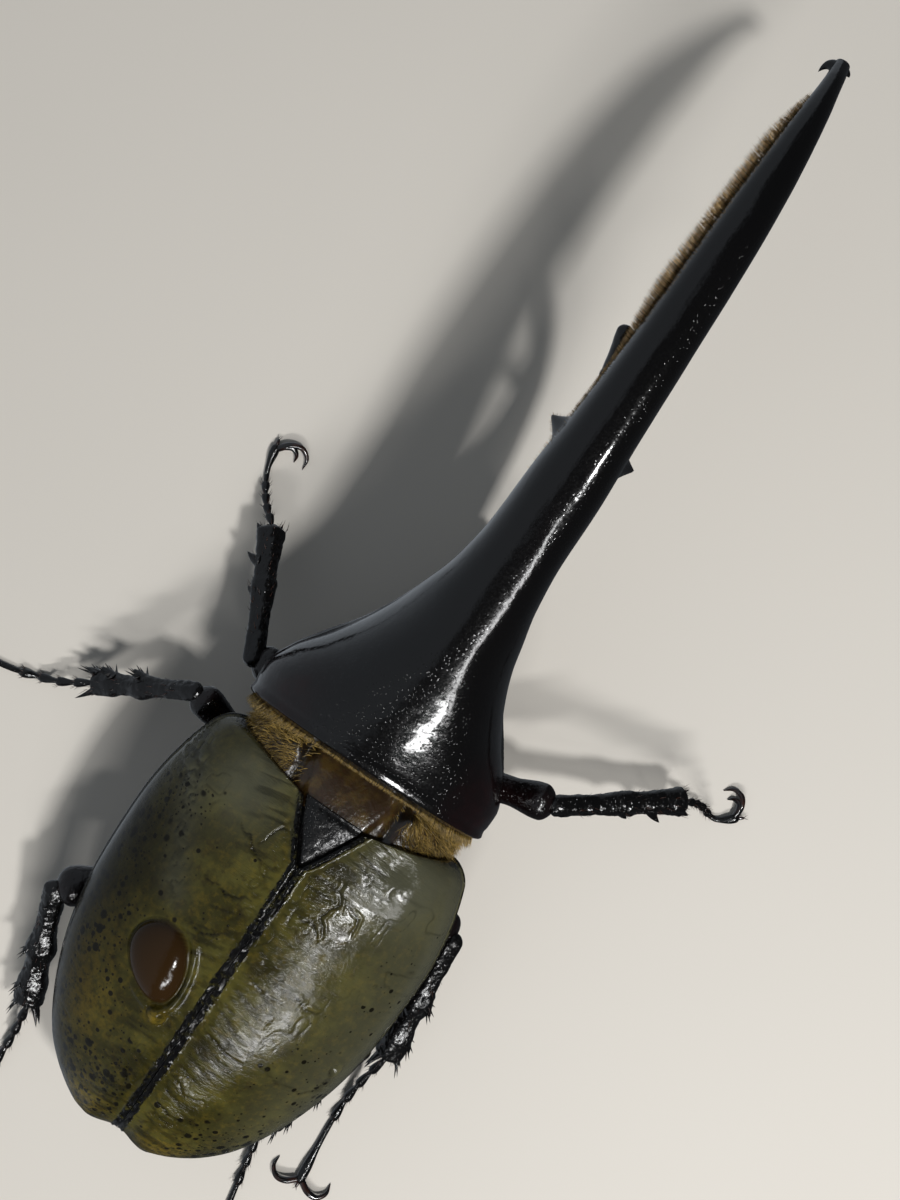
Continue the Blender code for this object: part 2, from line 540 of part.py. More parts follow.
def make_leg(name, leg, parent, body):
    """Femur with its coxa, tibia with its teeth and spurs, and tarsus with its two claws."""
    thick = leg["thick"]
    middle = (np.array(leg["hip"]) + leg["knee"]) / 2 + (0, 0, 0.4)
    path = spread((leg["root"], leg["hip"], middle, leg["knee"]), np.array(FEMUR_STATIONS))
    radii = np.array(FEMUR_RADII) * thick
    femur = solid(name + "_femur", *tube(path, radii, radii * 0.92, 8), parent, "leg_black")
    keep_clear(femur, *body)
    ahead, outer, up = leg_axes(leg)
    path = spread((leg["knee"], leg["ankle"]), np.array(TIBIA_STATIONS))
    radii = np.array(TIBIA_RADII) * thick
    tibia = solid(name + "_tibia", *tube(path, radii, radii * 0.8, 8), parent, "leg_black")
    span = np.linalg.norm(np.subtract(leg["ankle"], leg["knee"]))
    teeth = []
    for share, length, lean, side, lift in FORE_TEETH if name.startswith("fore") else REAR_TEETH:
        foot = leg["knee"] + ahead * span * share + outer * side * TOOTH_FOOT_OUT + up * lift
        way = ahead * lean + outer * side + up * lift
        teeth.append(thorn(foot, foot + way / np.linalg.norm(way) * (length + 0.9), 1.5))
    boolean(tibia, helper(solid(name + "_teeth", *joined(teeth), parent, "leg_black")), "UNION")
    keep_clear(tibia, femur)
    stations, radii = [], []
    for start, stop in zip(TARSUS_JOINTS[:-2], TARSUS_JOINTS[1:-1], strict=True):
        stations += [start, start + 0.8 * (stop - start)]
        radii += [0.58, 0.95]
    stations += [TARSUS_JOINTS[-2], 0.75, 0.93, 1.0]
    radii += [0.55, 0.8, 1.0, 0.7]
    path = spread((leg["ankle"], *leg["foot"], leg["toe"]), np.array(stations))
    radii = np.array(radii) * leg["beads"]
    points, faces = tube(path, radii, radii, 6, phase=0.0)
    points[:, 2] = np.where(points[:, 2] < SOLE_DEPTH, 0.0, points[:, 2])
    tarsus = solid(name + "_tarsus", points, faces, parent, "leg_black")
    heading = np.subtract(leg["toe"], leg["foot"][1]) * (1, 1, 0)
    heading /= np.linalg.norm(heading)
    beside = np.array([-heading[1], heading[0], 0])
    claws = []
    for side, size in leg["claws"]:
        stations = np.array(CLAW_STATIONS) * (size, size, 1)
        flat = np.outer(stations[:, 0], heading) + np.outer(side * (stations[:, 1] + 0.45), beside)
        path = np.array(leg["toe"]) * (1, 1, 0) + flat + np.outer(stations[:, 2], (0, 0, 1))
        points, faces = tube(path - heading * 0.5, np.array(CLAW_RADII), np.array(CLAW_RADII), 6)
        points[:, 2] = points[:, 2].clip(0)
        claws.append((points, faces))
    boolean(tarsus, helper(solid(name + "_claws", *joined(claws), parent, "leg_black")), "UNION")
    keep_clear(tarsus, tibia)


def empty(name, matrix, parent=None):
    made = bpy.data.objects.new(name, None)
    bpy.context.scene.collection.objects.link(made)
    made.parent = parent
    made.matrix_local = matrix
    return made


def turned_about(point, pitch, roll, yaw):
    """A turn about a point: first the roll, then the pitch, then the yaw."""
    turn = Matrix.Rotation(yaw, 4, "Z") @ Matrix.Rotation(pitch, 4, "X") @ Matrix.Rotation(roll, 4, "Y")
    about = Matrix.Translation([v * MM for v in point])
    return about @ turn @ about.inverted()


def main():
    for thing in list(bpy.data.objects):
        bpy.data.objects.remove(thing, do_unlink=True)
    beetle = empty("beetle", Matrix.Translation((-BOX_MIDDLE[0] * MM, -BOX_MIDDLE[1] * MM, 0)))
    forebody = empty("forebody", turned_about(NECK, *FOREBODY_TURN), beetle)
    skull = empty("skull", turned_about(HEAD_PIVOT, 0.0, HEAD_ROLL, HEAD_TURN), forebody)
    for side in (1, -1):
        make_wing_case(side, beetle)
    make_scutellum(beetle)
    front, middle, back = make_trunk(beetle)
    pronotum, horn = make_forebody(forebody)
    keep_clear(front, pronotum)
    make_head(skull, (pronotum, horn))
    rests_on = {"fore": (pronotum,), "mid": (front, middle), "hind": (middle, back)}
    for name, leg in LEGS.items():
        make_leg(name, leg, beetle, rests_on[name.split("_")[0]])


main()
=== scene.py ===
"""Finished surfaces of a hercules beetle, an adult male at life size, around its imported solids.

Shapes are worked out in millimetres in the beetle's own frame: x = 0 is the seam between the wing
cases, +X is the beetle's left, the head points to -Y, y = 0 is the front of the wing cases and
z = 0 the floor. Prothorax and long horn lie in a frame of their own, turned about the neck, and
the head in one that is turned again inside that.
"""

import functools
import math

import bpy
import numpy as np
from mathutils import Matrix


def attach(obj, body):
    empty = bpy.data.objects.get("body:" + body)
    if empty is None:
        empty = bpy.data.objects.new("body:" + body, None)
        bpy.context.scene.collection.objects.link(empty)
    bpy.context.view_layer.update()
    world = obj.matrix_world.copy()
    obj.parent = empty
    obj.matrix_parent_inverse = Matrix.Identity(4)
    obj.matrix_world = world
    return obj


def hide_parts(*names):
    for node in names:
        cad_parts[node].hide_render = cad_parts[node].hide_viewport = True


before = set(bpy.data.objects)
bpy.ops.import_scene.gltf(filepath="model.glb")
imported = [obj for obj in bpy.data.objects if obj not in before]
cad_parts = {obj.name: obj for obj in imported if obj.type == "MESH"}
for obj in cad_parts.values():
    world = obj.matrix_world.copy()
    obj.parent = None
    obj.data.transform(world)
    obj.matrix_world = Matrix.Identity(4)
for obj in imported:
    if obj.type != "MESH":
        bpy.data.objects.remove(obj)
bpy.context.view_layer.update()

bl_info = {
    "name": "Hercules beetle",
    "version": (1, 0, 0),
    "blender": (4, 5, 0),
    "location": "3D View > Sidebar > Beetle",
    "description": "Builds the surfaces, hair and stage of a life-size hercules beetle",
    "category": "Add Mesh",
}

MM = 0.001
GAP = 0.30
BOX_MIDDLE = (5.197, -21.087)

# Wing cases, as in the solids.
HALF_WIDTH, WIDEST_Y, APEX_Y = 24.1, 19.0, 61.3
SHOULDER_Y, SHOULDER_ROUND, SHOULDER_NARROWING = -1.2, 2.6, 0.175
OUTLINE_POWER, DOME_POWER, SECTION_POWER = 2.25, 2.4, 2.15
DOME_TOP, DOME_FRONT_DROP = 32.6, 2.4
RIM_FRONT, RIM_MIDDLE, RIM_APEX = 20.0, 16.5, 12.0
CASE_THICKNESS, CASE_LIP = 1.2, 1.6
APEX_NOTCH, APEX_NOTCH_HALF = 1.5, 5.5
BODY_INSET = 2.5
CASE_ROWS, CASE_ACROSS, CASE_INSIDE, CASE_LIP_STEPS = 300, 241, 25, 16
# Half the gap at the seam, how near the relief may come to the middle, and about how far it is
# over the dome from the seam to the rim.
SEAM_GAP, SEAM_CLEARANCE, RIM_RUN = GAP / 6, GAP / 8, 31
# Creases of the wing cases: runs of points in x, y.
CREASES = (
    ((-1.9, 26.2), (-4.6, 26.2), (-8.4, 26.0)),
    ((-9.6, 24.2), (-11.6, 25.0), (-13.2, 24.8)),
    ((-2.2, 35.0), (-5.6, 36.4), (-8.6, 36.6)),
    ((-1.8, 43.2), (-5.0, 45.0), (-7.6, 44.6)),
    ((-2.0, 48.2), (-4.4, 49.6), (-6.4, 49.4)),
    ((-6.6, 8.2), (-7.4, 10.8), (-6.2, 13.4), (-8.0, 15.6)),
    ((-8.0, 10.2), (-10.6, 11.2), (-11.2, 13.0)),
    ((-3.2, 14.6), (-6.2, 15.0), (-7.6, 16.2)),
    ((3.4, 11.8), (6.4, 11.0), (9.4, 9.0)),
    ((6.2, 9.6), (5.4, 7.2), (3.8, 6.0)),
    ((3.0, 17.0), (6.4, 18.0), (9.8, 17.4)),
    ((2.8, 22.4), (6.0, 24.4), (8.6, 24.4)),
)
BLISTER_AT, BLISTER_WAY = (8.3, 31.1), (-0.565, 0.825)
BLISTER_LONG, BLISTER_WIDE = 5.6, 4.1
BEAD_AT, BEAD_RADIUS = (4.5, 37.4), 1.45
PIT_AT = (-20.2, 31.8)

SCUTELLUM_FRONT, SCUTELLUM_BACK, SCUTELLUM_HALF = 1.2, 9.3, 4.5

BELLY, BELLY_REAR = 7.6, 10.5
MESO_FRONT, MESO_BACK, MESO_HALF, MESO_TOP = -5.6, 2.0, 16.0, 28.3
META_BACK = 25.0

BELLY_GROOVES = (META_BACK + 3, 33.5, 39, 44.2, 48.8, 52.8)

# Prothorax and horn, as in the solids: y, half width, top, height of the widest point, underside.
NECK = (0.0, -3.0, 22.0)
FOREBODY_TURN = (math.radians(4.8), math.radians(-3.0), math.radians(0.6))
FOREBODY = np.array(
    [
        (-4.9, 17.6, 31.6, 20.0, 10.2), (-5.8, 19.1, 33.2, 19.6, 9.0),
        (-9.5, 19.4, 35.4, 18.8, 8.0), (-13.5, 17.9, 37.2, 18.6, 7.6),
        (-18.0, 15.0, 39.0, 19.5, 7.6), (-23.0, 11.45, 40.7, 22.0, 8.4),
        (-27.5, 9.2, 42.1, 25.5, 11.8), (-31.0, 7.95, 43.2, 29.5, 19.0),
        (-36.0, 6.4, 44.8, 34.4, 25.4), (-43.0, 5.45, 46.9, 38.9, 31.2),
        (-51.0, 5.2, 49.0, 41.9, 35.4), (-60.0, 4.55, 50.7, 44.3, 38.4),
        (-72.0, 3.95, 51.7, 46.4, 40.8), (-85.0, 3.5, 51.2, 46.9, 41.8),
        (-97.0, 2.95, 49.0, 45.7, 41.2), (-108.0, 2.05, 45.0, 42.7, 39.2),
        (-115.2, 1.35, 40.6, 39.2, 36.8), (-119.5, 1.05, 36.6, 35.8, 34.6),
    ]
)
HORN_END = (-120.4, 34.4)
HORN_TOOTH_Y, HORN_TOOTH_LENGTH = -57.2, 3.2

HEAD_TURN, HEAD_ROLL, HEAD_PIVOT = math.radians(2.5), math.radians(8.0), (0.0, -27.0, 20.0)
HEAD = np.array(
    [
        (-26.0, 5.6, 19.8, 15.5, 10.6), (-29.0, 6.3, 21.6, 15.6, 9.6),
        (-33.0, 6.1, 22.4, 15.8, 9.3), (-37.0, 5.0, 21.4, 15.6, 9.8),
        (-40.0, 4.3, 18.0, 14.6, 10.6), (-42.0, 3.2, 14.9, 13.4, 11.4),
    ]
)
EYE_AT, EYE_RADII = (5.7, -31.6, 15.4), (1.8, 2.2, 2.4)
CEPHALIC_PATH = (
    (0, -35, 17.6), (-0.3, -42, 19.6), (-0.9, -53, 21),
    (-1.1, -63, 24), (-0.5, -70.5, 29), (0.4, -74.6, 34.5),
)
CEPHALIC_SIDE = (3.1, 2.6, 2.0, 1.6, 1.45, 1.15)
CEPHALIC_DEEP = (4.2, 3.6, 2.9, 2.2, 1.5, 0.9)
CEPHALIC_TEETH = ((-60.5, 3.0, 6.0), (-68.8, 2.0, 3.0))
FEELER_PATH = (
    (4.4, -34.0, 12.2), (5.6, -32.4, 10.4), (5.4, -35.0, 8.8), (4.2, -38.0, 8.0), (3.4, -39.6, 7.8)
)
JAW_PATH = ((2.0, -38.6, 11.2), (2.2, -41.6, 10.4), (1.3, -43.6, 10.6))
PALP_PATH = ((1.6, -39.4, 9.6), (3.0, -41.4, 7.8), (3.0, -43.4, 6.6), (2.4, -45.0, 6.8))
JAW_RADII = (1.2, 1.3, 1.25, 1.1, 0.9, 0.35)
PALP_RADII = (0.42, 0.3, 0.45, 0.3, 0.5, 0.34)

# Legs, as in the solids: root, hip, knee, ankle, two points of the foot, toe, side of the teeth,
# thickness, size of the foot's beads, and each claw's side and size.
LEGS = {
    "fore_left": (
        (3.6, -10.6, 8.4), (10.0, -10.4, 8.6), (21.7, -7.8, 15.0), (31.1, -24.7, 6.6),
        (34.2, -27.0, 3.4), (36.9, -30.7, 0.85), (37.8, -34.6, 0.95),
        1, 1.0, 0.9, (-1, 1.1), (-1, 0.7),
    ),
    "fore_right": (
        (-3.6, -9.8, 8.4), (-10.0, -9.8, 8.6), (-25.8, -14.9, 14.4), (-42.4, -25.7, 6.6),
        (-45.2, -26.0, 3.2), (-48.6, -25.4, 0.85), (-51.2, -27.4, 0.95),
        -1, 1.0, 0.9, (1, 0.95), (1, 0.6),
    ),
    "mid_left": (
        (3.2, 6.0, 7.6), (8.8, 5.4, 7.4), (25.8, 0.4, 15.8), (40.2, 10.0, 4.8),
        (44.5, 13.0, 2.6), (49.8, 15.4, 0.85), (60.2, 17.4, 0.95),
        -1, 0.9, 1.0, (-1, 1.0), (1, 1.0),
    ),
    "mid_right": (
        (-3.2, 6.0, 7.6), (-8.8, 6.0, 7.4), (-24.8, 9.6, 13.6), (-27.6, 31.8, 5.6),
        (-26.9, 37.4, 2.8), (-26.8, 44.0, 0.85), (-28.0, 56.6, 0.95),
        1, 1.05, 1.0, (-1, 1.0), (1, 1.0),
    ),
    "hind_left": (
        (3.0, 20.6, 7.2), (8.4, 22.6, 7.0), (27.0, 36.4, 12.4), (21.3, 56.0, 5.0),
        (20.9, 60.6, 2.6), (20.7, 66.4, 0.85), (20.4, 77.6, 0.95),
        -1, 1.1, 1.0, (-1, 1.0), (1, 1.0),
    ),
    "hind_right": (
        (-3.0, 20.6, 7.2), (-8.4, 22.6, 7.0), (-23.2, 31.0, 10.6), (-18.4, 50.4, 4.6),
        (-19.0, 55.4, 2.4), (-20.1, 60.8, 0.85), (-22.4, 71.6, 0.95),
        1, 1.1, 1.0, (-1, 1.0), (1, 1.0),
    ),
}
FEMUR_STATIONS = (0.0, 0.14, 0.28, 0.38, 0.55, 0.72, 0.9, 1.0)
FEMUR_RADII = (2.0, 2.8, 2.5, 2.1, 2.2, 2.15, 2.75, 2.5)
TIBIA_STATIONS = (0.0, 0.08, 0.3, 0.55, 0.62, 0.85, 0.94, 1.0)
TIBIA_RADII = (1.4, 1.6, 1.5, 1.9, 1.65, 1.95, 2.15, 1.7)
# Teeth of a tibia: share of its length, length, lean to the foot, side (outer +1, inner -1), lift.
FORE_TEETH = (
    (0.5, 0.5, 0.6, 1, 0.0), (0.72, 1.5, 0.7, 1, 0.0),
    (0.94, 0.9, 1.2, 1, 0.0), (0.94, 0.8, 3.0, -1, -0.2),
)
REAR_TEETH = (
    (0.5, 1.2, 0.9, 1, 0.2), (0.8, 1.4, 1.1, 1, 0.2), (0.95, 1.6, 1.8, 1, -0.1),
    (0.96, 3.4, 3.2, -1, -0.3), (0.96, 2.6, 2.4, -1, 0.6),
)
TARSUS_JOINTS = (0.0, 0.15, 0.29, 0.43, 0.57, 1.0)
CLAW_STATIONS = (
    (0.2, 0.0, 1.0), (1.1, 1.4, 1.3), (1.3, 3.0, 1.2), (0.2, 4.1, 0.8), (-1.4, 4.0, 0.35)
)
CLAW_RADII = (0.5, 0.5, 0.42, 0.3, 0.06)

# The photograph's viewpoint in the beetle's frame, and its lens.
CAMERA_AT = (5.34, -44.23, 271.01)
CAMERA_AXES = ((-0.8253, -0.5642, -0.0230), (0.5646, -0.8240, -0.0476), (0.0079, -0.0522, 0.9986))
CAMERA_LENS = 53.97
# Where the lights point, in the beetle's frame, and half the side of the floor in metres.
LIGHT_AIM, FLOOR_HALF = (0, 0, 20), 3.0

# Settings of nodes.
SMOOTH = {"interpolation_type": "SMOOTHSTEP"}
COLOUR = {"data_type": "RGBA"}


def srgb(code):
    """The linear colour of a hex sRGB code, with an alpha of 1."""
    channels = [int(code[i : i + 2], 16) / 255 for i in (1, 3, 5)]
    return (*[v / 12.92 if v <= 0.04045 else ((v + 0.055) / 1.055) ** 2.4 for v in channels], 1.0)


def length(name, size, description):
    """A length property whose default is given in millimetres."""
    return bpy.props.FloatProperty(
        name=name, description=description, default=size * MM, min=0.0, unit="LENGTH"
    )


def tint(name, code, description):
    """A colour property whose default is a hex sRGB code."""
    return bpy.props.FloatVectorProperty(
        name=name,
        description=description,
        default=srgb(code),
        size=4,
        min=0.0,
        max=1.0,
        subtype="COLOR",
    )


class BeetleSizes(bpy.types.PropertyGroup):
    """Heights and depths of the relief, and lengths of the hair."""

    wrinkle: length("Wrinkles", 0.05, "Height of the fine wrinkles across the wing cases")
    crease: length("Creases", 0.17, "Height of the long creases of the wing cases")
    blister: length("Blister", 2.1, "Height of the blister on the left wing case")
    seam_ridge: length("Seam ridge", 0.32, "Height of the ridge along the seam of the wing cases")
    margin: length("Margin bead", 0.3, "Height of the bead along the edge of the pronotum")
    puncture: length("Punctures", 0.045, "Depth of the fine punctures in the black cuticle")
    brush: length("Horn brush", 1.9, "Length of the bristles under the long horn")
    collar_hair: length("Collar hair", 2.3, "Length of the golden hair on the collar")
    fringe: length("Fringe", 1.0, "Length of the fringe behind the pronotum")
    belly_hair: length("Belly hair", 2.6, "Length of the hair under the thorax")
    bristle: length("Leg bristles", 1.5, "Length of the bristles on tibiae and tarsi")
    hair_width: length("Hair width", 0.075, "Width of one hair at its root")


class BeetleColours(bpy.types.PropertyGroup):
    """Colours of the cuticle, the hair and the floor."""

    olive: tint("Olive", "#49451e", "Main colour of the wing cases")
    olive_dark: tint("Dark olive", "#2f2c10", "Darker clouds of the wing cases")
    # Painted sheen: a paler greyish olive for the shoulders, the band inside each rim and the right
    # case's outer part; it also tints the left case's leathery strip.
    umber: tint("Umber", "#241d0c", "Smudges of the wing cases")
    sheen_olive: tint("Grey olive", "#4c4c3e", "Shoulders and sides of the wing cases")
    olive_yellow: tint("Yellow olive", "#6b5a1c", "Yellow patches of the wing cases")
    spot: tint("Spots", "#0d0b05", "Spots of the wing cases")
    black: tint("Black", "#070606", "Black cuticle")
    red_black: tint("Red black", "#2a080a", "Thin black cuticle, where red shows through")
    amber: tint("Amber", "#2c1d0c", "Collar and blister")
    amber_light: tint("Light amber", "#463514", "Lighter places of the collar")
    belly: tint("Belly", "#22120a", "Underside")
    eye: tint("Eyes", "#0b0707", "Eyes")
    gold_hair: tint("Golden hair", "#b3954d", "Hair of the collar and the fringe")
    # Painted light: a paler colour than the brush's own golden orange, so that the brush looks lit
    # where it lies in the horn's shade.
    brush_hair: tint("Brush hair", "#f0c286", "Hair under the horn")
    russet_hair: tint("Russet hair", "#8a5a2c", "Hair at the mouth and under the thorax")
    bristle: tint("Bristles", "#3a1c0e", "Bristles of the legs")
    claw: tint("Claws", "#2c140a", "Claws and spurs")
    floor: tint("Floor", "#d6d0c6", "Floor")


def unit(vectors):
    """Vectors of length 1 along the given ones."""
    return vectors / (np.linalg.norm(vectors, axis=-1, keepdims=True) + 1e-12)


def hermite(values, slopes, step, i, u):
    """The Hermite cubic between values i and i + 1, at a share u of the step, from their slopes."""
    straight = values[i] * (1 + 2 * u) * (1 - u) ** 2 + values[i + 1] * u**2 * (3 - 2 * u)
    return straight + step * (slopes[i] * u * (1 - u) ** 2 - slopes[i + 1] * u**2 * (1 - u))


def fair(x, stations, values):
    """A monotone cubic curve through the values at the stations, read at x. Its slopes at the
    stations are the harmonic means of the neighbouring chords' slopes."""
    order = np.argsort(stations)
    xs, ys = np.asarray(stations, float)[order], np.asarray(values, float)[order]
    step = np.diff(xs)
    slope = np.diff(ys) / step
    product = slope[:-1] * slope[1:]
    total = np.where(product > 0, slope[:-1] + slope[1:], 1.0)
    inner = np.where(product > 0, 2 * product / total, 0.0)
    tangent = np.concatenate([slope[:1], inner, slope[-1:]])
    i = np.clip(np.searchsorted(xs, x) - 1, 0, len(step) - 1)
    return hermite(ys, tangent, step[i], i, (np.asarray(x, float) - xs[i]) / step[i])


def ease(x):
    """0 below 0, 1 above 1 and 3 x squared less 2 x cubed between."""
    u = np.clip(x, 0.0, 1.0)
    return u * u * (3 - 2 * u)


def hump(x, width):
    """A bell of height 1 at 0: e to the power of minus x over width, squared."""
    return np.exp(-((x / width) ** 2))


def root(base, power):
    """The outline share of a superellipse whose other share, to its power, is one less base."""
    return np.clip(base, 0.0, 1.0) ** (1 / power)


def lattice(cells, seed):
    """A fixed random number from 0 to 1 for each cell of a whole-number lattice."""
    mixed = cells[..., 0] * 73856093 ^ cells[..., 1] * 19349663 ^ cells[..., 2] * 83492791
    mixed = (mixed ^ seed * 265443576) & 0x7FFFFFFF
    mixed = ((mixed ^ (mixed >> 13)) * 1274126177) & 0x7FFFFFFF
    return ((mixed ^ (mixed >> 11)) & 0xFFFF) / 65535


def uneven(points, size, seed=0):
    """Smooth noise from -1 to 1 with lumps of a size in mm, or of one size for each axis: the
    random numbers of the eight nearest lattice points, blended by smooth steps."""
    points = points / np.asarray(size, float)
    cell = np.floor(points).astype(np.int64)
    part = ease(points - cell)
    total = np.zeros(points.shape[:-1])
    for corner in np.ndindex(2, 2, 2):
        total += np.prod(np.where(corner, part, 1 - part), axis=-1) * lattice(cell + corner, seed)
    return 2 * total - 1


def turn_matrix(pitch, roll, yaw):
    """First the roll about Y, then the pitch about X, then the yaw about Z."""
    (cp, sp), (cr, sr), (cy, sy) = ((math.cos(a), math.sin(a)) for a in (pitch, roll, yaw))
    about_x = np.array([(1, 0, 0), (0, cp, -sp), (0, sp, cp)])
    about_y = np.array([(cr, 0, sr), (0, 1, 0), (-sr, 0, cr)])
    about_z = np.array([(cy, -sy, 0), (sy, cy, 0), (0, 0, 1)])
    return about_z @ about_x @ about_y


TURNS = {
    "beetle": (),
    "forebody": ((NECK, turn_matrix(*FOREBODY_TURN)),),
    "skull": (
        (HEAD_PIVOT, turn_matrix(0.0, HEAD_ROLL, HEAD_TURN)),
        (NECK, turn_matrix(*FOREBODY_TURN)),
    ),
}


def placed(points, home):
    """Points of one of the three frames, in mm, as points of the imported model, in metres."""
    points = np.asarray(points, float)
    for about, matrix in TURNS[home]:
        points = (points - about) @ matrix.T + about
    return (points - (*BOX_MIDDLE, 0.0)) * MM


def skin(grid, start=None, end=None):
    """A closed shape over rings, (rings, sides, 3): quads between neighbouring rings, and a fan to
    a middle point at each end. A shape is its points, quads and triangles."""
    count, sides = grid.shape[:2]
    start = grid[0].mean(0) if start is None else start
    end = grid[-1].mean(0) if end is None else end
    points = np.concatenate([grid.reshape(-1, 3), [start], [end]])
    k = np.arange(sides)
    after, last = (k + 1) % sides, (count - 1) * sides
    first_fan = np.stack([np.full(sides, count * sides), after, k], 1)
    last_fan = np.stack([np.full(sides, count * sides + 1), last + k, last + after], 1)
    return outward(points, walls(count, sides), np.concatenate([first_fan, last_fan]))


def walls(count, sides):
    """Quads between neighbouring rings, each ring closed on itself."""
    i, j = (a.ravel() for a in np.meshgrid(np.arange(count - 1), np.arange(sides), indexing="ij"))
    after, here, ahead = (j + 1) % sides, i * sides, (i + 1) * sides
    return np.stack([here + j, here + after, ahead + after, ahead + j], 1)


def outward(points, quads, tris):
    """The shape with its faces turned outwards, where the determinants of its triangles add up to
    more than 0."""
    every = np.concatenate([quads[:, [0, 1, 2]], quads[:, [0, 2, 3]], tris])
    if np.linalg.det((points - points.mean(0))[every]).sum() < 0:
        return points, quads[:, ::-1], tris[:, ::-1]
    return points, quads, tris


def joined(*shapes):
    """Several shapes as one."""
    starts = np.cumsum([0] + [len(points) for points, _, _ in shapes])
    points = np.concatenate([shape[0] for shape in shapes])
    quads = np.concatenate([shape[1] + at for shape, at in zip(shapes, starts)])
    tris = np.concatenate([shape[2] + at for shape, at in zip(shapes, starts)])
    return points, quads, tris


def normals(grid, loops=True):
    """Unit normals of a grid that point away from its rings' middles: the cross product of the
    differences along its two directions. A grid that loops closes on itself along its rings."""
    over = np.gradient(grid, axis=1)
    if loops:
        over = (np.roll(grid, -1, 1) - np.roll(grid, 1, 1)) / 2
    normal = unit(np.cross(np.gradient(grid, axis=0), over))
    return normal * np.sign(np.sum(normal * (grid - grid.mean(axis=1, keepdims=True))))


def raised(grid, height, loops=True):
    """The grid moved out along its own normals by a height in mm."""
    return grid + normals(grid, loops) * height[..., None]


def runs(path):
    """The running length of a path at each of its points."""
    return np.append(0, np.cumsum(np.linalg.norm(np.diff(path, axis=0), axis=1)))


def spread(points, shares):
    """Places along a smooth path through a few points, at shares of its length: Hermite cubics in
    the running length, with central differences for slopes."""
    points = np.asarray(points, float)
    run = runs(points)
    at = np.asarray(shares, float) * run[-1]
    i = np.clip(np.searchsorted(run, at) - 1, 0, len(run) - 2)
    step = (run[i + 1] - run[i])[:, None]
    u = (at - run[i])[:, None] / step
    return hermite(points, np.gradient(points, run, axis=0), step, i, u)


def tube(path, side, deep, sides, up=(0.0, 0.0, 1.0)):
    """Rings square to a path: middle + across cos a side + lift sin a deep."""
    ahead = unit(np.gradient(path, axis=0))
    across = unit(np.cross(ahead, np.asarray(up, float)))
    lift = np.cross(across, ahead)
    angle = np.arange(sides) * 2 * math.pi / sides
    side, deep = (np.broadcast_to(v, len(path))[:, None, None] for v in (side, deep))
    rings = path[:, None] + across[:, None] * np.cos(angle)[None, :, None] * side
    return rings + lift[:, None] * np.sin(angle)[None, :, None] * deep


def blunt(path, radius, start=True, end=True):
    """Shares of a radius that round a path's ends off like a ball: the square root of one less the
    square of how far inside the last radius a place lies."""
    run = runs(path)
    share = np.ones(len(path))
    for wanted, off in ((start, run), (end, run[-1] - run)):
        if wanted:
            share *= np.sqrt(1 - (1 - np.clip(off / radius, 0.01, 1)) ** 2)
    return share


def spike(foot, tip, width, bend=(0.0, 0.0, 0.0), sides=12, rows=14):
    """A thorn from a flared foot to its tip: the half width is width/2 times (1 - t) to 0.8 plus a
    quick flare at the foot, and the middle leaves the chord by bend t (1 - t)."""
    foot, tip, t = np.asarray(foot, float), np.asarray(tip, float), np.linspace(0, 0.985, rows)
    path = foot + (tip - foot) * t[:, None] + np.asarray(bend, float) * (t * (1 - t) * 4)[:, None]
    radius = width / 2 * ((1 - t) ** 0.8 + 0.35 * np.exp(-t / 0.1))
    upright = abs(unit(tip - foot)[2]) >= 0.8
    up = (0.0, 1.0, 0.0) if upright else (0.0, 0.0, 1.0)
    return skin(tube(path, radius, radius, sides, up), None, tip)


def ball(middle, radii, rows=40, sides=64):
    """An ellipsoid: x and y from the cosine of the latitude, z from its sine."""
    turn = np.linspace(-0.5, 0.5, rows + 2)[1:-1, None] * math.pi
    angle = np.arange(sides) * 2 * math.pi / sides
    flat, up = np.cos(turn), np.sin(turn) + 0 * angle
    grid = np.stack([flat * np.cos(angle), flat * np.sin(angle), up], -1) * radii + middle
    reach = np.array([0, 0, radii[2]])
    return skin(grid, middle - reach, middle + reach)


def piece(name, shape, home, finish, replaced=(), values=None, uv=None):
    """A mesh object of the shape, placed from its frame, smooth, with one finish. Values are
    arrays of one number for each point, kept as attributes, and uv one place for each point."""
    points, quads, tris = shape
    mesh = bpy.data.meshes.new(name)
    corners = np.concatenate([quads.ravel(), tris.ravel()]).astype(np.int32)
    sizes = np.concatenate([np.full(len(quads), 4), np.full(len(tris), 3)])
    starts = np.append(0, np.cumsum(sizes)[:-1]).astype(np.int32)
    mesh.vertices.add(len(points))
    mesh.vertices.foreach_set("co", placed(points, home).astype(np.float32).ravel())
    mesh.loops.add(len(corners))
    mesh.loops.foreach_set("vertex_index", corners)
    mesh.polygons.add(len(sizes))
    mesh.polygons.foreach_set("loop_start", starts)
    mesh.update(calc_edges=True)
    for label, numbers in (values or {}).items():
        numbers = np.ravel(numbers)
        numbers = np.append(numbers, np.full(len(points) - len(numbers), numbers.mean()))
        layer = mesh.attributes.new(label, "FLOAT", "POINT")
        layer.data.foreach_set("value", numbers.astype(np.float32))
    if uv is not None:
        layer = mesh.uv_layers.new(name="OFBake")
        layer.data.foreach_set("uv", uv[corners].astype(np.float32).ravel())
    mesh.shade_smooth()
    mesh.materials.append(material(finish))
    made = bpy.data.objects.new(name, mesh)
    bpy.context.scene.collection.objects.link(made)
    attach(made, "root")
    if replaced:
        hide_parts(*replaced)


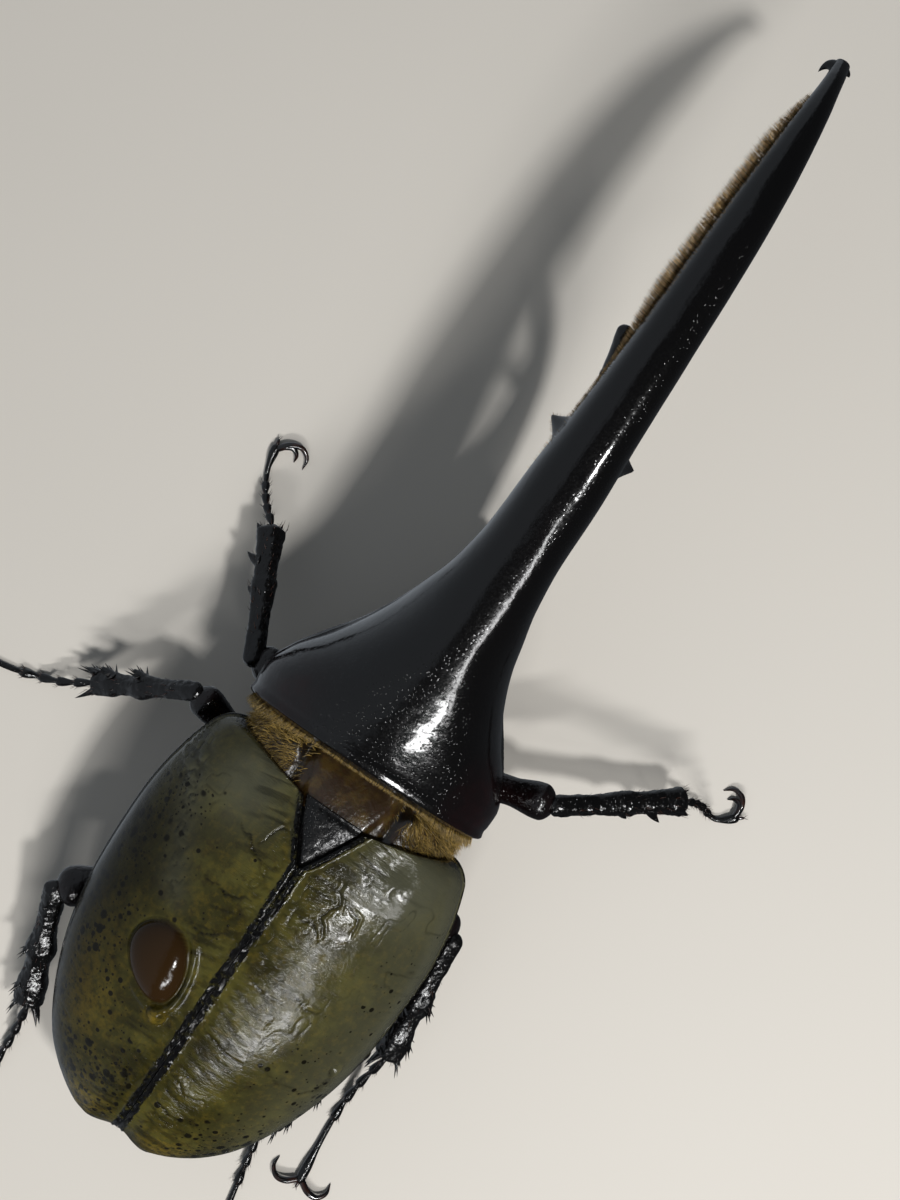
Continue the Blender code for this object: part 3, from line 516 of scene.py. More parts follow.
def rooted(grid, count, share, seed):
    """Random places on a grid of rings, more where share is higher: cells are drawn by their area
    times share, and the place in a cell by two more draws. Gives the places, the normals there
    and the places on the grid's own unwrap."""
    draw = np.random.default_rng(seed)
    rows, sides = grid.shape[0] - 1, grid.shape[1]
    down, over = np.diff(grid, axis=0), (np.roll(grid, -1, 1) - grid)[:rows]
    weight = np.linalg.norm(np.cross(down, over), axis=-1) * share[:rows]
    chosen = draw.choice(weight.size, count, p=weight.ravel() / weight.sum())
    i, j = chosen // sides, chosen % sides
    u, v = draw.random(count), draw.random(count)
    places = grid[i, j] + down[i, j] * u[:, None] + over[i, j] * v[:, None]
    return places, normals(grid)[i, j], np.stack([(i + u) / rows, (j + v) / sides], 1)


def hairs(places, ways, lengths, width, bends, spots, sections=4):
    """Tapered three-sided hairs: place + way L t + bend L t squared, with the half width falling
    as (1 - t) to 0.6 from the root to a point. Also gives each point's place on the unwrap, in a
    patch 0.003 across at the root's, and a shade for each hair."""
    count, tip, last = len(places), sections * 3, sections * 3 - 3
    t = np.linspace(0, 1, sections + 1)
    run = ways[:, None] * t[:, None] + bends[:, None] * (t**2)[:, None]
    path = places[:, None] + lengths[:, None, None] * run
    across = unit(np.cross(ways, np.array([0.31, 0.17, 0.93])))
    lift = np.cross(across, ways)
    angle = np.arange(3) * 2 * math.pi / 3
    corner = across[:, None] * np.cos(angle)[:, None] + lift[:, None] * np.sin(angle)[:, None]
    radius = width / 2 * (1 - t[:-1]) ** 0.6
    rings = path[:, :-1, None] + corner[:, None] * radius[:, None, None]
    points = np.concatenate([rings.reshape(count, -1, 3), path[:, -1:]], 1)
    caps = [(2, 1, 0), (last, last + 1, tip), (last + 1, last + 2, tip), (last + 2, last, tip)]
    starts = np.arange(count)[:, None, None] * (tip + 1)
    quads, tris = (starts + faces for faces in (walls(sections, 3), np.array(caps)))
    along, turned = np.repeat(t[:-1], 3), np.tile(angle / 6.3, sections)
    local = np.stack([np.append(along, 1.0), np.append(turned, 0.5)], 1)
    unwrap = (spots[:, None] * 0.99 + 0.003 * local).reshape(-1, 2)
    shades = np.repeat(np.random.default_rng(count).random(count), tip + 1)
    return outward(points.reshape(-1, 3), quads.reshape(-1, 4), tris.reshape(-1, 3)), unwrap, shades


def hair_piece(name, made, home, finish):
    """A joined mesh of hairs with its unwrap and its shades."""
    shape, unwrap, shades = made
    piece(name, shape, home, finish, values={"shade": shades}, uv=unwrap)


def coat(
    grid, share, comb, reach, width, *, count, seed, stand, stray, low, high,
    curl=0.0, bend=0.0, lie=0.0, sections=4,
):
    """Hairs rooted on a grid of rings. Each stands along comb + stand times the normal + a random
    stray, and bends by bend + lie times the normal + a random curl. Its length is reach times a
    random factor between low and high. Comb and reach are worked out from the roots."""
    places, outs, spots = rooted(grid, count, share, seed)
    draw = np.random.default_rng(seed + 1)
    ways = unit(comb(places) + outs * stand + draw.normal(0, stray, outs.shape))
    lengths = reach(places) * draw.uniform(low, high, count)
    bends = draw.normal(0, curl, outs.shape) + bend + lie * outs
    return hairs(places, ways, lengths, width, bends, spots, sections)


def feed(node, *inputs, **named):
    """Sets inputs of a node, in the order of its sockets in use or by their names. Each is a
    value, a socket or a node, whose output Fac or else first output in use is then taken."""
    sockets = [socket for socket in node.inputs if socket.enabled]
    pairs = list(zip(sockets, inputs))
    for label, value in named.items():
        pairs.append((next(s for s in sockets if s.name == label.replace("_", " ")), value))
    for socket, value in pairs:
        if isinstance(value, bpy.types.Node):
            value = value.outputs.get("Fac") or next(s for s in value.outputs if s.enabled)
        if isinstance(value, bpy.types.NodeSocket):
            node.id_data.links.new(value, socket)
        else:
            socket.default_value = value


def add(tree, kind, *inputs, **named):
    """Adds a node with its settings and links. A name with a capital is an input, and one without
    is a property of the node's own."""
    made = tree.nodes.new("ShaderNode" + kind)
    for name, value in named.items():
        if name[0].islower():
            setattr(made, name, value)
    feed(made, *inputs, **{name: value for name, value in named.items() if name[0].isupper()})
    return made


def new_material(name, **constants):
    """Makes a material and gives what adds a node to it, its Principled shader with these
    constants set, and the Object coordinates in mm. Every colour is linked or set by the caller."""
    made = bpy.data.materials.new(name)
    made.use_nodes = True
    shader = made.node_tree.nodes["Principled BSDF"]
    feed(shader, **constants)
    node = functools.partial(add, made.node_tree)
    where = node("TexCoord").outputs["Object"]
    return node, shader, node("Mapping", where, Scale=(1000.0, 1000.0, 1000.0))


def wing_case_material(name, colours):
    """Wing-case cuticle, hardened and waxy: olive that darkens in clouds, with dark spots under a
    clear glossy skin, and with painted sheen and painted shade laid into its colour. It gives the
    eye a wet gloss broken up by fine wrinkles."""
    node, shader, place = new_material(
        name, IOR=1.45, Coat_Weight=0.08, Coat_Roughness=0.08, Specular_IOR_Level=0.26
    )
    marks = {
        mark: node("Attribute", attribute_name=mark)
        for mark in ("sheen_and_grey", "yellow", "spots", "amber", "painted_shade", "seam", "folds")
    }
    clouds = node("TexNoise", place, Scale=0.13, Detail=4.0, Roughness=0.6)
    mottle = node("TexNoise", place, Scale=0.9, Detail=3.0, Roughness=0.65)
    smudge = node("TexNoise", place, Scale=0.42, Detail=5.0, Roughness=0.7, Distortion=0.5)
    patches = node("MapRange", mottle, 0.3, 0.6, **SMOOTH)
    seam = node("Math", marks["seam"], mottle, -0.18, operation="MULTIPLY_ADD")
    layers = [
        (node("MapRange", clouds, 0.4, 0.66, **SMOOTH), colours.olive),
        (node("MapRange", mottle, 0.45, 0.75, 0.0, 0.3, **SMOOTH), colours.olive_yellow),
        (node("MapRange", smudge, 0.5, 0.68, 0.0, 0.6, **SMOOTH), colours.umber),
        # Painted sheen on the shoulders, the rims and the right case's outer part, and the same
        # tint on the left case's leathery strip.
        (marks["sheen_and_grey"], colours.sheen_olive),
        (node("Math", marks["yellow"], patches, operation="MULTIPLY"), colours.olive_yellow),
    ]
    # Spots 0.4 to 1.2 mm across, in the cells whose random number lies below "spots".
    for scale, size, share in ((0.5, 0.36, 0.95), (0.85, 0.36, 0.95), (1.7, 0.32, 0.85)):
        cells = node("TexVoronoi", place, Scale=scale, Randomness=0.9)
        room = node("Math", marks["spots"], cells.outputs["Color"], operation="SUBTRACT")
        reach = node("MapRange", room, -0.1, 0.25, 0.0, size, **SMOOTH)
        near = node("Math", reach, cells, operation="SUBTRACT")
        layers.append((node("MapRange", near, -0.06, 0.07, 0.0, share, **SMOOTH), colours.spot))
    layers += [
        (marks["amber"], colours.amber),
        # Painted shade, in the spots' colour.
        (marks["painted_shade"], colours.spot),
        (node("MapRange", seam, 0.05, 0.3, **SMOOTH), colours.black),
    ]
    colour = colours.olive_dark
    for share, over in layers:
        colour = node("Mix", share, colour, over, **COLOUR)
    grain = node("TexNoise", place, Scale=2.2, Detail=4.0, Roughness=0.6)
    rough = node("MapRange", grain, 0.3, 0.7, 0.1, 0.2, **SMOOTH)
    rough = node("Mix", marks["seam"], rough, 0.12)
    rough = node("Mix", marks["amber"], rough, 0.1)
    # Folds about 0.45 mm apart and 2 mm long, which run across the body.
    across = node("Mapping", place, Rotation=(0.0, 0.0, 0.12), Scale=(0.45, 2.2, 0.6))
    folds = node("TexNoise", across, Scale=1.0, Detail=2.0, Distortion=1.6)
    folds = node("Math", folds, marks["folds"], operation="MULTIPLY")
    bump = node("Bump", Height=folds, Distance=0.00009)
    calm = node("MapRange", marks["amber"], 0.0, 1.0, 1.0, 0.1, **SMOOTH)
    calm = node("Math", grain, calm, operation="MULTIPLY")
    bump = node("Bump", Height=calm, Distance=0.00004, Normal=bump)
    # Granules 0.42 mm apart along the seam.
    granules = node("TexVoronoi", place, Scale=2.4)
    granules = node("MapRange", granules, 0.05, 0.5, 1.0, 0.0, **SMOOTH)
    granules = node("Math", granules, marks["seam"], operation="MULTIPLY")
    bump = node("Bump", Height=granules, Distance=0.00022, Normal=bump)
    feed(shader, Base_Color=colour, Roughness=rough, Normal=bump)


def black_cuticle(name, colours, spacing, deep, rough, coat_share, rugged=1.0, cover=None):
    """Polished black cuticle, as on a beetle's horn: nearly black with a clear hard gloss, red
    where it is thin, and dimpled by punctures a spacing apart in mm, which break highlights into
    sparks. A piece with a cover has fewer and shallower punctures where that says so."""
    node, shader, place = new_material(
        name, IOR=1.5, Coat_Weight=coat_share, Coat_Roughness=0.04, Specular_IOR_Level=0.5
    )
    depth = bpy.context.scene.beetle_sizes.puncture * deep
    lumps = node("TexNoise", place, Scale=0.35, Detail=3.0)
    red = node("MapRange", lumps, 0.35, 0.7, 0.4, 1.0, **SMOOTH)
    red = node("Math", node("Attribute", attribute_name="red"), red, operation="MULTIPLY")
    grain = node("TexNoise", place, Scale=3.0, Detail=3.0)
    pits = node("TexVoronoi", place, Scale=1 / spacing, Randomness=0.9)
    height = node("MapRange", pits, 0.1, 0.34, **SMOOTH)
    if cover:
        share = node("Attribute", attribute_name=cover)
        height = node("Math", height, share, operation="MULTIPLY")
    bump = node("Bump", Height=height, Distance=depth)
    bump = node("Bump", Height=lumps, Distance=0.0001, Normal=bump)
    fine = node("TexNoise", place, Scale=1.5, Detail=3.0)
    feed(
        shader,
        Base_Color=node("Mix", red, colours.black, colours.red_black, **COLOUR),
        Roughness=node("MapRange", grain, 0.3, 0.7, rough * 0.8, rough * 1.3, **SMOOTH),
        Normal=node("Bump", Height=fine, Distance=depth * 2 * rugged, Normal=bump),
    )


def collar_material(name, colours):
    """Thin amber cuticle between the plates: light gets into it, and it glows brown under a
    gloss."""
    node, shader, place = new_material(
        name,
        IOR=1.52,
        Coat_Weight=0.4,
        Coat_Roughness=0.12,
        Roughness=0.3,
        Subsurface_Weight=0.15,
        Subsurface_Scale=0.0008,
    )
    clouds = node("TexNoise", place, Scale=0.45, Detail=3.0)
    clouds = node("MapRange", clouds, 0.42, 0.68, **SMOOTH)
    colour = node("Mix", clouds, colours.amber, colours.amber_light, **COLOUR)
    # Black where the collar is marked dark, including the painted shade in the groove beside the
    # plate.
    dark = node("Attribute", attribute_name="dark")
    grain = node("TexNoise", place, Scale=1.8, Detail=3.0)
    feed(
        shader,
        Base_Color=node("Mix", dark, colour, colours.black, **COLOUR),
        Normal=node("Bump", Height=grain, Distance=0.0001),
    )


def belly_material(name, colours):
    """Cuticle of the underside: dark red-brown, smooth, with sparse punctures 0.8 mm apart."""
    node, shader, place = new_material(
        name, IOR=1.54, Coat_Weight=0.4, Coat_Roughness=0.1, Roughness=0.3
    )
    clouds = node("TexNoise", place, Scale=0.25, Detail=3.0)
    clouds = node("MapRange", clouds, 0.4, 0.7, **SMOOTH)
    pits = node("MapRange", node("TexVoronoi", place, Scale=1.25), 0.1, 0.3, **SMOOTH)
    feed(
        shader,
        Base_Color=node("Mix", clouds, colours.black, colours.belly, **COLOUR),
        Normal=node("Bump", Height=pits, Distance=0.00005),
    )


def eye_material(name, colours):
    """Lens cuticle of a compound eye: black glass in facets, 0.12 mm across so that they show."""
    node, shader, place = new_material(
        name, IOR=1.45, Coat_Weight=1.0, Coat_Roughness=0.03, Roughness=0.12
    )
    facets = node("TexVoronoi", place, Scale=8.0, Randomness=0.25)
    facets = node("MapRange", facets, 0.0, 0.6, 1.0, 0.0, **SMOOTH)
    bump = node("Bump", Height=facets, Distance=0.00002)
    feed(shader, Base_Color=colours.eye, Normal=bump)


def hair_material(name, colours, label, rough):
    """Hair of chitin: stiff and translucent, darker and lighter from hair to hair: partly each
    hair's own tone, partly painted shade on the darkest hairs.
    """
    node, shader, _ = new_material(name, IOR=1.55, Roughness=rough, Specular_IOR_Level=0.5)
    shade = node("Attribute", attribute_name="shade")
    shade = node("MapRange", shade, 0.0, 1.0, **SMOOTH)
    colour = np.array(getattr(colours, label))
    # Painted shade: a shaded and a lit copy of the hair colour, 0.17 and 1.25 times it, mixed by
    # each hair's random shade.
    dim, lit = (np.minimum(colour * (k, k, k, 1.0), 1.0).tolist() for k in (0.17, 1.25))
    feed(shader, Base_Color=node("Mix", shade, dim, lit, **COLOUR))


def claw_material(name, colours):
    """Claw chitin, hard and a little translucent: red-brown, going black at root and tip."""
    node, shader, place = new_material(
        name, IOR=1.56, Coat_Weight=0.6, Coat_Roughness=0.06, Roughness=0.2
    )
    clouds = node("TexNoise", place, Scale=0.6, Detail=2.0)
    clouds = node("MapRange", clouds, 0.4, 0.65, **SMOOTH)
    feed(shader, Base_Color=node("Mix", clouds, colours.black, colours.claw, **COLOUR))


def floor_material(name, colours):
    """Matt painted board: plain, pale and even."""
    node, shader, place = new_material(name, Roughness=0.6)
    clouds = node("TexNoise", place, Scale=0.01, Detail=2.0)
    dim = (np.array(colours.floor) * (0.94, 0.94, 0.94, 1.0)).tolist()
    feed(shader, Base_Color=node("Mix", clouds, dim, colours.floor, **COLOUR))


FINISHES = {
    "waxy_olive_cuticle": ("wing_case_olive", wing_case_material),
    "polished_horn_cuticle": ("horn_black", black_cuticle, 0.52, 1.0, 0.13, 0.2, 0.07, "pits"),
    "punctured_leg_cuticle": ("leg_black", black_cuticle, 0.6, 1.3, 0.17, 0.15),
    "granulate_black_cuticle": ("leg_black", black_cuticle, 0.42, 1.5, 0.3, 0.0),
    "thin_amber_cuticle": ("collar_amber", collar_material),
    "brown_belly_cuticle": ("belly_brown", belly_material),
    "faceted_eye_lens": ("eye_black", eye_material),
    "polished_claw_chitin": ("leg_black", claw_material),
    "golden_hair": ("collar_amber", hair_material, "gold_hair", 0.38),
    "orange_brush_hair": ("collar_amber", hair_material, "brush_hair", 0.4),
    "russet_hair": ("collar_amber", hair_material, "russet_hair", 0.42),
    "leg_bristle": ("collar_amber", hair_material, "bristle", 0.35),
    "matt_painted_board": (None, floor_material),
}


def material(finish):
    """The material of a finish, made when it is first asked for."""
    if finish not in bpy.data.materials:
        _, maker, *numbers = FINISHES[finish]
        maker(finish, bpy.context.scene.beetle_colours, *numbers)
    return bpy.data.materials[finish]


def dome(y, inset=0.0):
    """Half width, top and rim height of the wing cases' dome at y, or of one that lies inset inside
    it: superellipses from the widest place to the apex, and parabolas towards the front."""
    back = np.clip((y - WIDEST_Y) / (APEX_Y - inset - WIDEST_Y), 0, 1)
    front = np.clip((WIDEST_Y - y) / (WIDEST_Y - SHOULDER_Y), 0, None)
    half = (HALF_WIDTH - inset) * root(1 - back**OUTLINE_POWER, OUTLINE_POWER)
    half = half * (1 - SHOULDER_NARROWING * front**2.2)
    top = RIM_APEX + (DOME_TOP - inset - RIM_APEX) * root(1 - back**DOME_POWER, 2.0)
    top = top - DOME_FRONT_DROP * front**2
    rim = RIM_FRONT + (RIM_MIDDLE - RIM_FRONT) * ease(y / 25)
    return half, top, rim + (RIM_APEX - RIM_MIDDLE) * ease((y - 28) / 32)


def scutellum_half(y):
    """Half width of the scutellum at y: a triangle with slightly bowed sides."""
    share = np.clip((y - SCUTELLUM_FRONT) / (SCUTELLUM_BACK - SCUTELLUM_FRONT), 0, 1)
    return SCUTELLUM_HALF * (1 - share) ** 0.9


def wing_case_face(along, around, inset):
    """Points of one wing case's face. Along 0 to 1 runs from its front to the apex, and around 0
    to 1 from the seam over the dome to the rim: sines and cosines of the angle to a power near 1.
    Past 1 it drops below the rim as a lip."""
    reach = APEX_Y - inset - SCUTELLUM_FRONT
    y = SCUTELLUM_FRONT + reach * (1 - np.cos(math.pi * along)) / 2
    lead = (SHOULDER_Y - SCUTELLUM_FRONT) * (1 - ease((y - SCUTELLUM_FRONT) / 14))
    angle = np.clip(around, 0, 1) * math.pi / 2
    out, up = np.sin(angle) ** (2 / SECTION_POWER), np.cos(angle).clip(0) ** (2 / SECTION_POWER)
    half, _, rim = dome(y + lead, inset)
    _, top, _ = dome(y, inset)
    corner = np.clip((y + lead - SHOULDER_Y) / SHOULDER_ROUND, 0, 1)
    half = half - SHOULDER_ROUND * (1 - np.sqrt(1 - (1 - corner) ** 2)) * (y < WIDEST_Y)
    seam = np.minimum(scutellum_half(y) + GAP, half) * (y < SCUTELLUM_BACK) + SEAM_GAP
    seam = np.minimum(seam, half)
    lip = np.clip(around - 1, 0, 1)
    x = seam + (half - seam) * out
    notch = APEX_NOTCH * ease((along - 0.6) / 0.35) * (1 - ease(x / APEX_NOTCH_HALF))
    z = rim + (top - rim) * up - CASE_LIP * lip
    return np.stack([x - 0.4 * lip, y + lead * out - notch, z], -1)


def off_line(x, y, path):
    """Signed distance from a run of points, and how near to its ends a place is, from 0 to 1."""
    best, sign, near = np.full(x.shape, 99.0), np.ones(x.shape), np.zeros(x.shape)
    total = len(path) - 1
    for k, (a, b) in enumerate(zip(path[:-1], path[1:])):
        way = np.subtract(b, a)
        t = np.clip(((x - a[0]) * way[0] + (y - a[1]) * way[1]) / (way @ way), 0, 1)
        dx, dy = x - a[0] - t * way[0], y - a[1] - t * way[1]
        off = np.hypot(dx, dy)
        closer = off < best
        best = np.where(closer, off, best)
        sign = np.where(closer, np.sign(way[0] * dy - way[1] * dx), sign)
        near = np.where(closer, (k + t) / total, near)
    return best * np.where(sign == 0, 1, sign), np.sin(math.pi * (0.08 + 0.84 * near)) ** 0.5


def blister_share(x, y):
    """How far out from the blister's middle a place is: 1 on its edge, an ellipse that narrows."""
    way = np.array(BLISTER_WAY) / np.hypot(*BLISTER_WAY)
    u = (x - BLISTER_AT[0]) * way[0] + (y - BLISTER_AT[1]) * way[1]
    v = (y - BLISTER_AT[1]) * way[0] - (x - BLISTER_AT[0]) * way[1]
    wide = BLISTER_WIDE * (1 - 0.2 * np.clip(u / BLISTER_LONG, -1, 1))
    return np.hypot(u / BLISTER_LONG, v / wide)


def wing_case_relief(side, face, from_seam, around, sizes):
    """Height in mm at each point of a wing case's face, and the numbers that its colours follow:
    sums of bells, smooth steps and noise over the distances from the marks."""
    x, y = face[..., 0] * side, face[..., 1]
    flat = np.stack([x, y, 0 * x], -1)
    left, wide = side > 0, np.abs(x)
    from_rim = (1 - around) * RIM_RUN
    middle = ease((from_rim - 2.5) / 4)
    front_part = 1 - ease((y - 13) / 8)
    rear, outer = ease((y - 20) / 38), ease((wide - 8) / 12)
    # The ridge along the seam, and its granules.
    width = 0.72 + 0.2 * hump(y - 13, 5) + 0.08 * uneven(flat, 1.4, 2)
    height = sizes.seam_ridge / MM * (0.1 + 1.3 * front_part) * hump(from_seam - 0.5, 0.4)
    granules = np.clip(uneven(flat, 0.45, 30), -0.3, 1) * (1 - 0.6 * front_part)
    height += 0.2 * granules * (1 - ease((from_seam - width) / 0.4))
    # Wrinkles 0.56 mm apart and 4.2 mm long, which run across the body beside the seam.
    warp = 2.2 * uneven(flat, 7, 3)
    bent = np.stack([x + warp, y - 0.2 * wide + 0.4 * warp, 0 * x], -1)
    folds = uneven(bent, (4.2, 0.56, 1), 5)
    band = ease((from_seam - 1.3) / 1.2) * (1 - 0.9 * ease((from_seam - 5.5) / 4.5))
    band = band * ease((from_rim - 3) / 3)
    height += sizes.wrinkle / MM * np.sign(folds) * np.abs(folds) ** 0.7 * band
    calm = middle * (1 - 0.6 * ease((y - 16) / 8))
    height += 0.14 * uneven(flat, 7.5, 8) * middle
    for deep, size, seed in ((0.06, 2.6, 9), (0.025, 1.1, 10), (0.01, 0.55, 11)):
        height += deep * uneven(flat, size, seed) * calm
    # Veins: thin grooves where a bent noise passes 0, in patches.
    bent = flat + 0.8 * uneven(flat, 1.8, 15)[..., None]
    veins = hump(uneven(bent, (5.5, 3.2, 1), 16), 0.07) * ease(uneven(flat, 9, 17) * 2 + 0.3)
    veins = veins * middle
    height -= 0.05 * veins
    # Bent ripples beside the shoulder, around a place in front of them.
    for (at_x, at_y), reach in (((-11.5, 3.0), 8.5), ((11.5, 2.0), 7.5)):
        off = np.hypot(x - at_x, y - at_y) + 0.9 * uneven(flat, 2.6, 4) + 0.3 * uneven(flat, 1.0, 6)
        arc = hump(off - reach, reach * 0.3) * ease((y - at_y - 1) / 3)
        arc = arc * (0.5 + 0.5 * uneven(flat, 2.2, 14))
        height += 0.035 * np.sin(off * 2 * math.pi / 0.8) * arc
    # A leathery strip from the left shoulder to the blister.
    strip, _ = off_line(x, y, ((21.0, 4.0), (11.5, 24.0)))
    leather = hump(strip, 2.3) * ease((26 - y) / 5) * ease((x - 3) / 2)
    scales = np.abs(uneven(flat, (0.9, 0.7, 1), 33))
    height += 0.32 * scales * leather
    # Painted shade, in the spots' colour: darker in the veins, the troughs of the wrinkles, between
    # the leathery scales and in the creases' grooves, and over the rear outer part of the left
    # case.
    painted_shade = np.maximum(0.45 * veins, 0.55 * band * ease((-folds - 0.2) / 0.3))
    painted_shade = np.maximum(painted_shade, 0.7 * ease((x - 7) / 13) * ease((y - 6) / 12))
    painted_shade = np.maximum(painted_shade, 0.6 * leather * ease((0.3 - scales) / 0.2))
    for path in CREASES:
        off, near = off_line(x, y, path)
        off = off + 0.4 * uneven(flat, 1.5, 12) + 0.16 * uneven(flat, 0.6, 13)
        height += sizes.crease / MM * near * (0.8 * hump(off - 0.36, 0.34) - hump(off, 0.19))
        painted_shade = np.maximum(painted_shade, near * hump(off + 0.04, 0.15))
    # Shoulder knob, groove along the margin and the thin rim outside it.
    height += 0.7 * hump(np.hypot(wide - 15.4, (y - 4.6) * 0.7), 3.4)
    height -= 0.5 * hump(np.hypot(wide - 11, y - 2.4), 2.2)
    height += -0.22 * hump(from_rim - 1.5, 0.7) + 0.3 * hump(around - 1.0, 0.014)
    # The blister with the folds beside it, the bead behind it, and the pit of the right case.
    share = blister_share(x, y)
    height = height * ease((share - 0.8) / 0.4)
    height += sizes.blister / MM * np.clip(1 - share**2, 0, 1) ** 0.62
    height += 0.5 * hump(share - 1.2, 0.12) * ease((8.9 - x + 0.4 * (y - 31)) / 3)
    height -= 0.25 * hump(share - 1.03, 0.06)
    bead = np.hypot(x - BEAD_AT[0], y - BEAD_AT[1]) / BEAD_RADIUS
    height += 0.85 * np.clip(1 - bead**2, 0, 1) ** 0.7 - 0.12 * hump(bead - 1.1, 0.14)
    pit = np.hypot((x - PIT_AT[0]) * 1.3, (y - PIT_AT[1]) * 0.8)
    height += 0.25 * hump(pit - 1.0, 0.4) - 0.55 * hump(pit, 0.6)
    base, at_rear, at_edge = (0.2, 0.7, 0.5) if left else (0.12, 0.6, 0.25)
    spots = base + (at_rear * rear + at_edge * outer) * (0.5 + 0.5 * uneven(flat, 5, 20))
    spots = spots * ease((from_rim - 1.5) / 2.5) * ease((from_seam - 1) / 2) * ease((y - 3) / 8)
    seam = 1 - ease((from_seam - width) / (0.55 + 0.25 * uneven(flat, 1.0, 21)))
    front = (1 - ease((y + 1.2 - 2.4 * (1 - ease(wide / 16))) / 1.2)) * 0.9
    edge = 0.9 * hump(from_rim - 0.25, 0.3) + ease((around - 1.0) / 0.05)
    # Painted sheen: a paler band inside the rim, a patch on each shoulder and, on the right case,
    # its outer part. On the left case the leathery strip takes the same tint.
    sheen_and_grey = 0.75 * hump(from_rim - 4.2, 4.2) * ease(from_rim / 1.2)
    sheen_and_grey += 0.8 * hump(np.hypot(wide - 12, y - 4), 6.5)
    sheen_and_grey += 0.6 * leather if left else 0.45 * outer
    yellow = 0.6 * hump(np.hypot(wide - 17.5, (y - 38) * 0.5), 4) * left
    yellow += 0.8 * hump(np.hypot(wide - 7, y - 57), 3.4)
    yellow += 0.5 * hump(np.hypot(x - 13, (y - 43) * 0.6), 3) + hump(bead, 0.9)
    marks = {
        "spots": np.where(share < 1.05, 0, spots),
        "seam": np.clip(np.maximum(np.maximum(seam, front), edge), 0, 1),
        "sheen_and_grey": np.clip(sheen_and_grey, 0, 0.85) * ease((share - 1) / 0.3),
        "yellow": np.clip(yellow, 0, 1) * ease((share - 1) / 0.2),
        "amber": 1 - ease((share - 0.95) / 0.12),
        "folds": band * ease((share - 1) / 0.3) + 0.25 * middle,
        "painted_shade": painted_shade * ease((share - 1) / 0.2),
    }
    return height, marks


def wing_case(side, sizes):
    """One wing case: a shell of rings, each running over the outer face, round the lip and back
    along the inner face in fewer steps, with its ends closed by triangles between the two."""
    along = np.linspace(0, 0.985, CASE_ROWS)
    over = np.linspace(0, 1, CASE_ACROSS - CASE_LIP_STEPS)
    around = np.append(over, np.linspace(1, 1.6, CASE_LIP_STEPS + 1)[1:])
    # The second column hugs the seam, so that smooth shading keeps the edge crisp.
    around[1] = 0.0006
    ratio = (CASE_ACROSS - 1) // (CASE_INSIDE - 1)
    s, t = np.meshgrid(along, around, indexing="ij")
    outer = wing_case_face(s, t, 0.0)
    height, marks = wing_case_relief(side, outer, outer[..., 0] - outer[:, :1, 0], t, sizes)
    ends = ease(s / 0.012) * (1 - ease((s - 0.96) / 0.025))
    face = raised(outer, height * (0.3 + 0.7 * ends), loops=False)
    face[..., 0] = face[..., 0].clip(SEAM_CLEARANCE)
    s, t = np.meshgrid(along, around[::ratio], indexing="ij")
    inner = wing_case_face(s, t, CASE_THICKNESS)
    inner[..., 1] = np.where(s < 0.5, wing_case_face(s, t, 0.0)[..., 1], inner[..., 1])
    rings = np.concatenate([face, inner[:, ::-1]], 1) * (side, 1, 1)
    count, sides = rings.shape[:2]
    k = np.arange(CASE_ACROSS - 1)
    step = np.floor((k + 0.5) / ratio + 0.5).astype(int)
    mate = sides - 1 - step
    change = k[:-1][np.diff(step) > 0]
    fan = np.stack([k, k + 1, mate], 1)
    turn = np.stack([change + 1, mate[change + 1], mate[change]], 1)
    cap = np.concatenate([fan, turn])
    tris = np.concatenate([cap[:, ::-1], cap + (count - 1) * sides])
    inside = np.zeros((count, CASE_INSIDE))
    values = {
        name: np.concatenate([field, inside + (name == "seam")], 1) for name, field in marks.items()
    }
    return outward(rings.reshape(-1, 3), walls(count, sides), tris), values


def scutellum_shape():
    """The triangular plate: its top crowned by the cube of the share across, with noise and a
    groove at the front, its sides dropping to a flat underside."""
    y = np.linspace(SCUTELLUM_FRONT - 0.3, SCUTELLUM_BACK - 0.6, 70)[:, None]
    over = np.linspace(-1, 1, 61)
    across = np.append(over, [1.0, 0.5, -0.5, -1.0])
    crown = np.append(-0.55 * np.abs(over) ** 3, [-1.9, -2, -2, -1.9])
    z = dome(y)[1] + 0.1 + crown
    grid = np.stack([scutellum_half(y) * across, y + 0 * across, z], -1)
    top = grid[:, : len(over)]
    top[..., 2] += 0.07 * uneven(top, 0.8, 31) - 0.3 * hump(top[..., 1] - SCUTELLUM_FRONT, 0.5)
    return skin(grid, None, (0, SCUTELLUM_BACK - 0.3, float(dome(SCUTELLUM_BACK)[1]) - 0.9))


def body_rings(stations, y, sides, lean=0.0, upper=2.2, lower=2.4):
    """Upright superellipse rings at y through stations of half width, top, widest height and
    underside. A lean, in radians, tips each ring's upper end backwards."""
    half, top, waist, under = (
        fair(y, stations[:, 0], column)[:, None] for column in stations.T[1:]
    )
    angle = (np.arange(sides) + 0.5) * 2 * math.pi / sides
    cos, sin = np.cos(angle), np.sin(angle)
    upper, lower, lean = (np.broadcast_to(v, y.shape)[:, None] for v in (upper, lower, lean))
    power = 2 / np.where(sin > 0, upper, lower)
    rise = np.where(sin > 0, top - waist, waist - under)
    height = np.sign(sin) * np.abs(sin) ** power * rise
    x = half * np.sign(cos) * np.abs(cos) ** power
    return np.stack([x, y[:, None] + np.sin(lean) * height, waist + np.cos(lean) * height], -1)


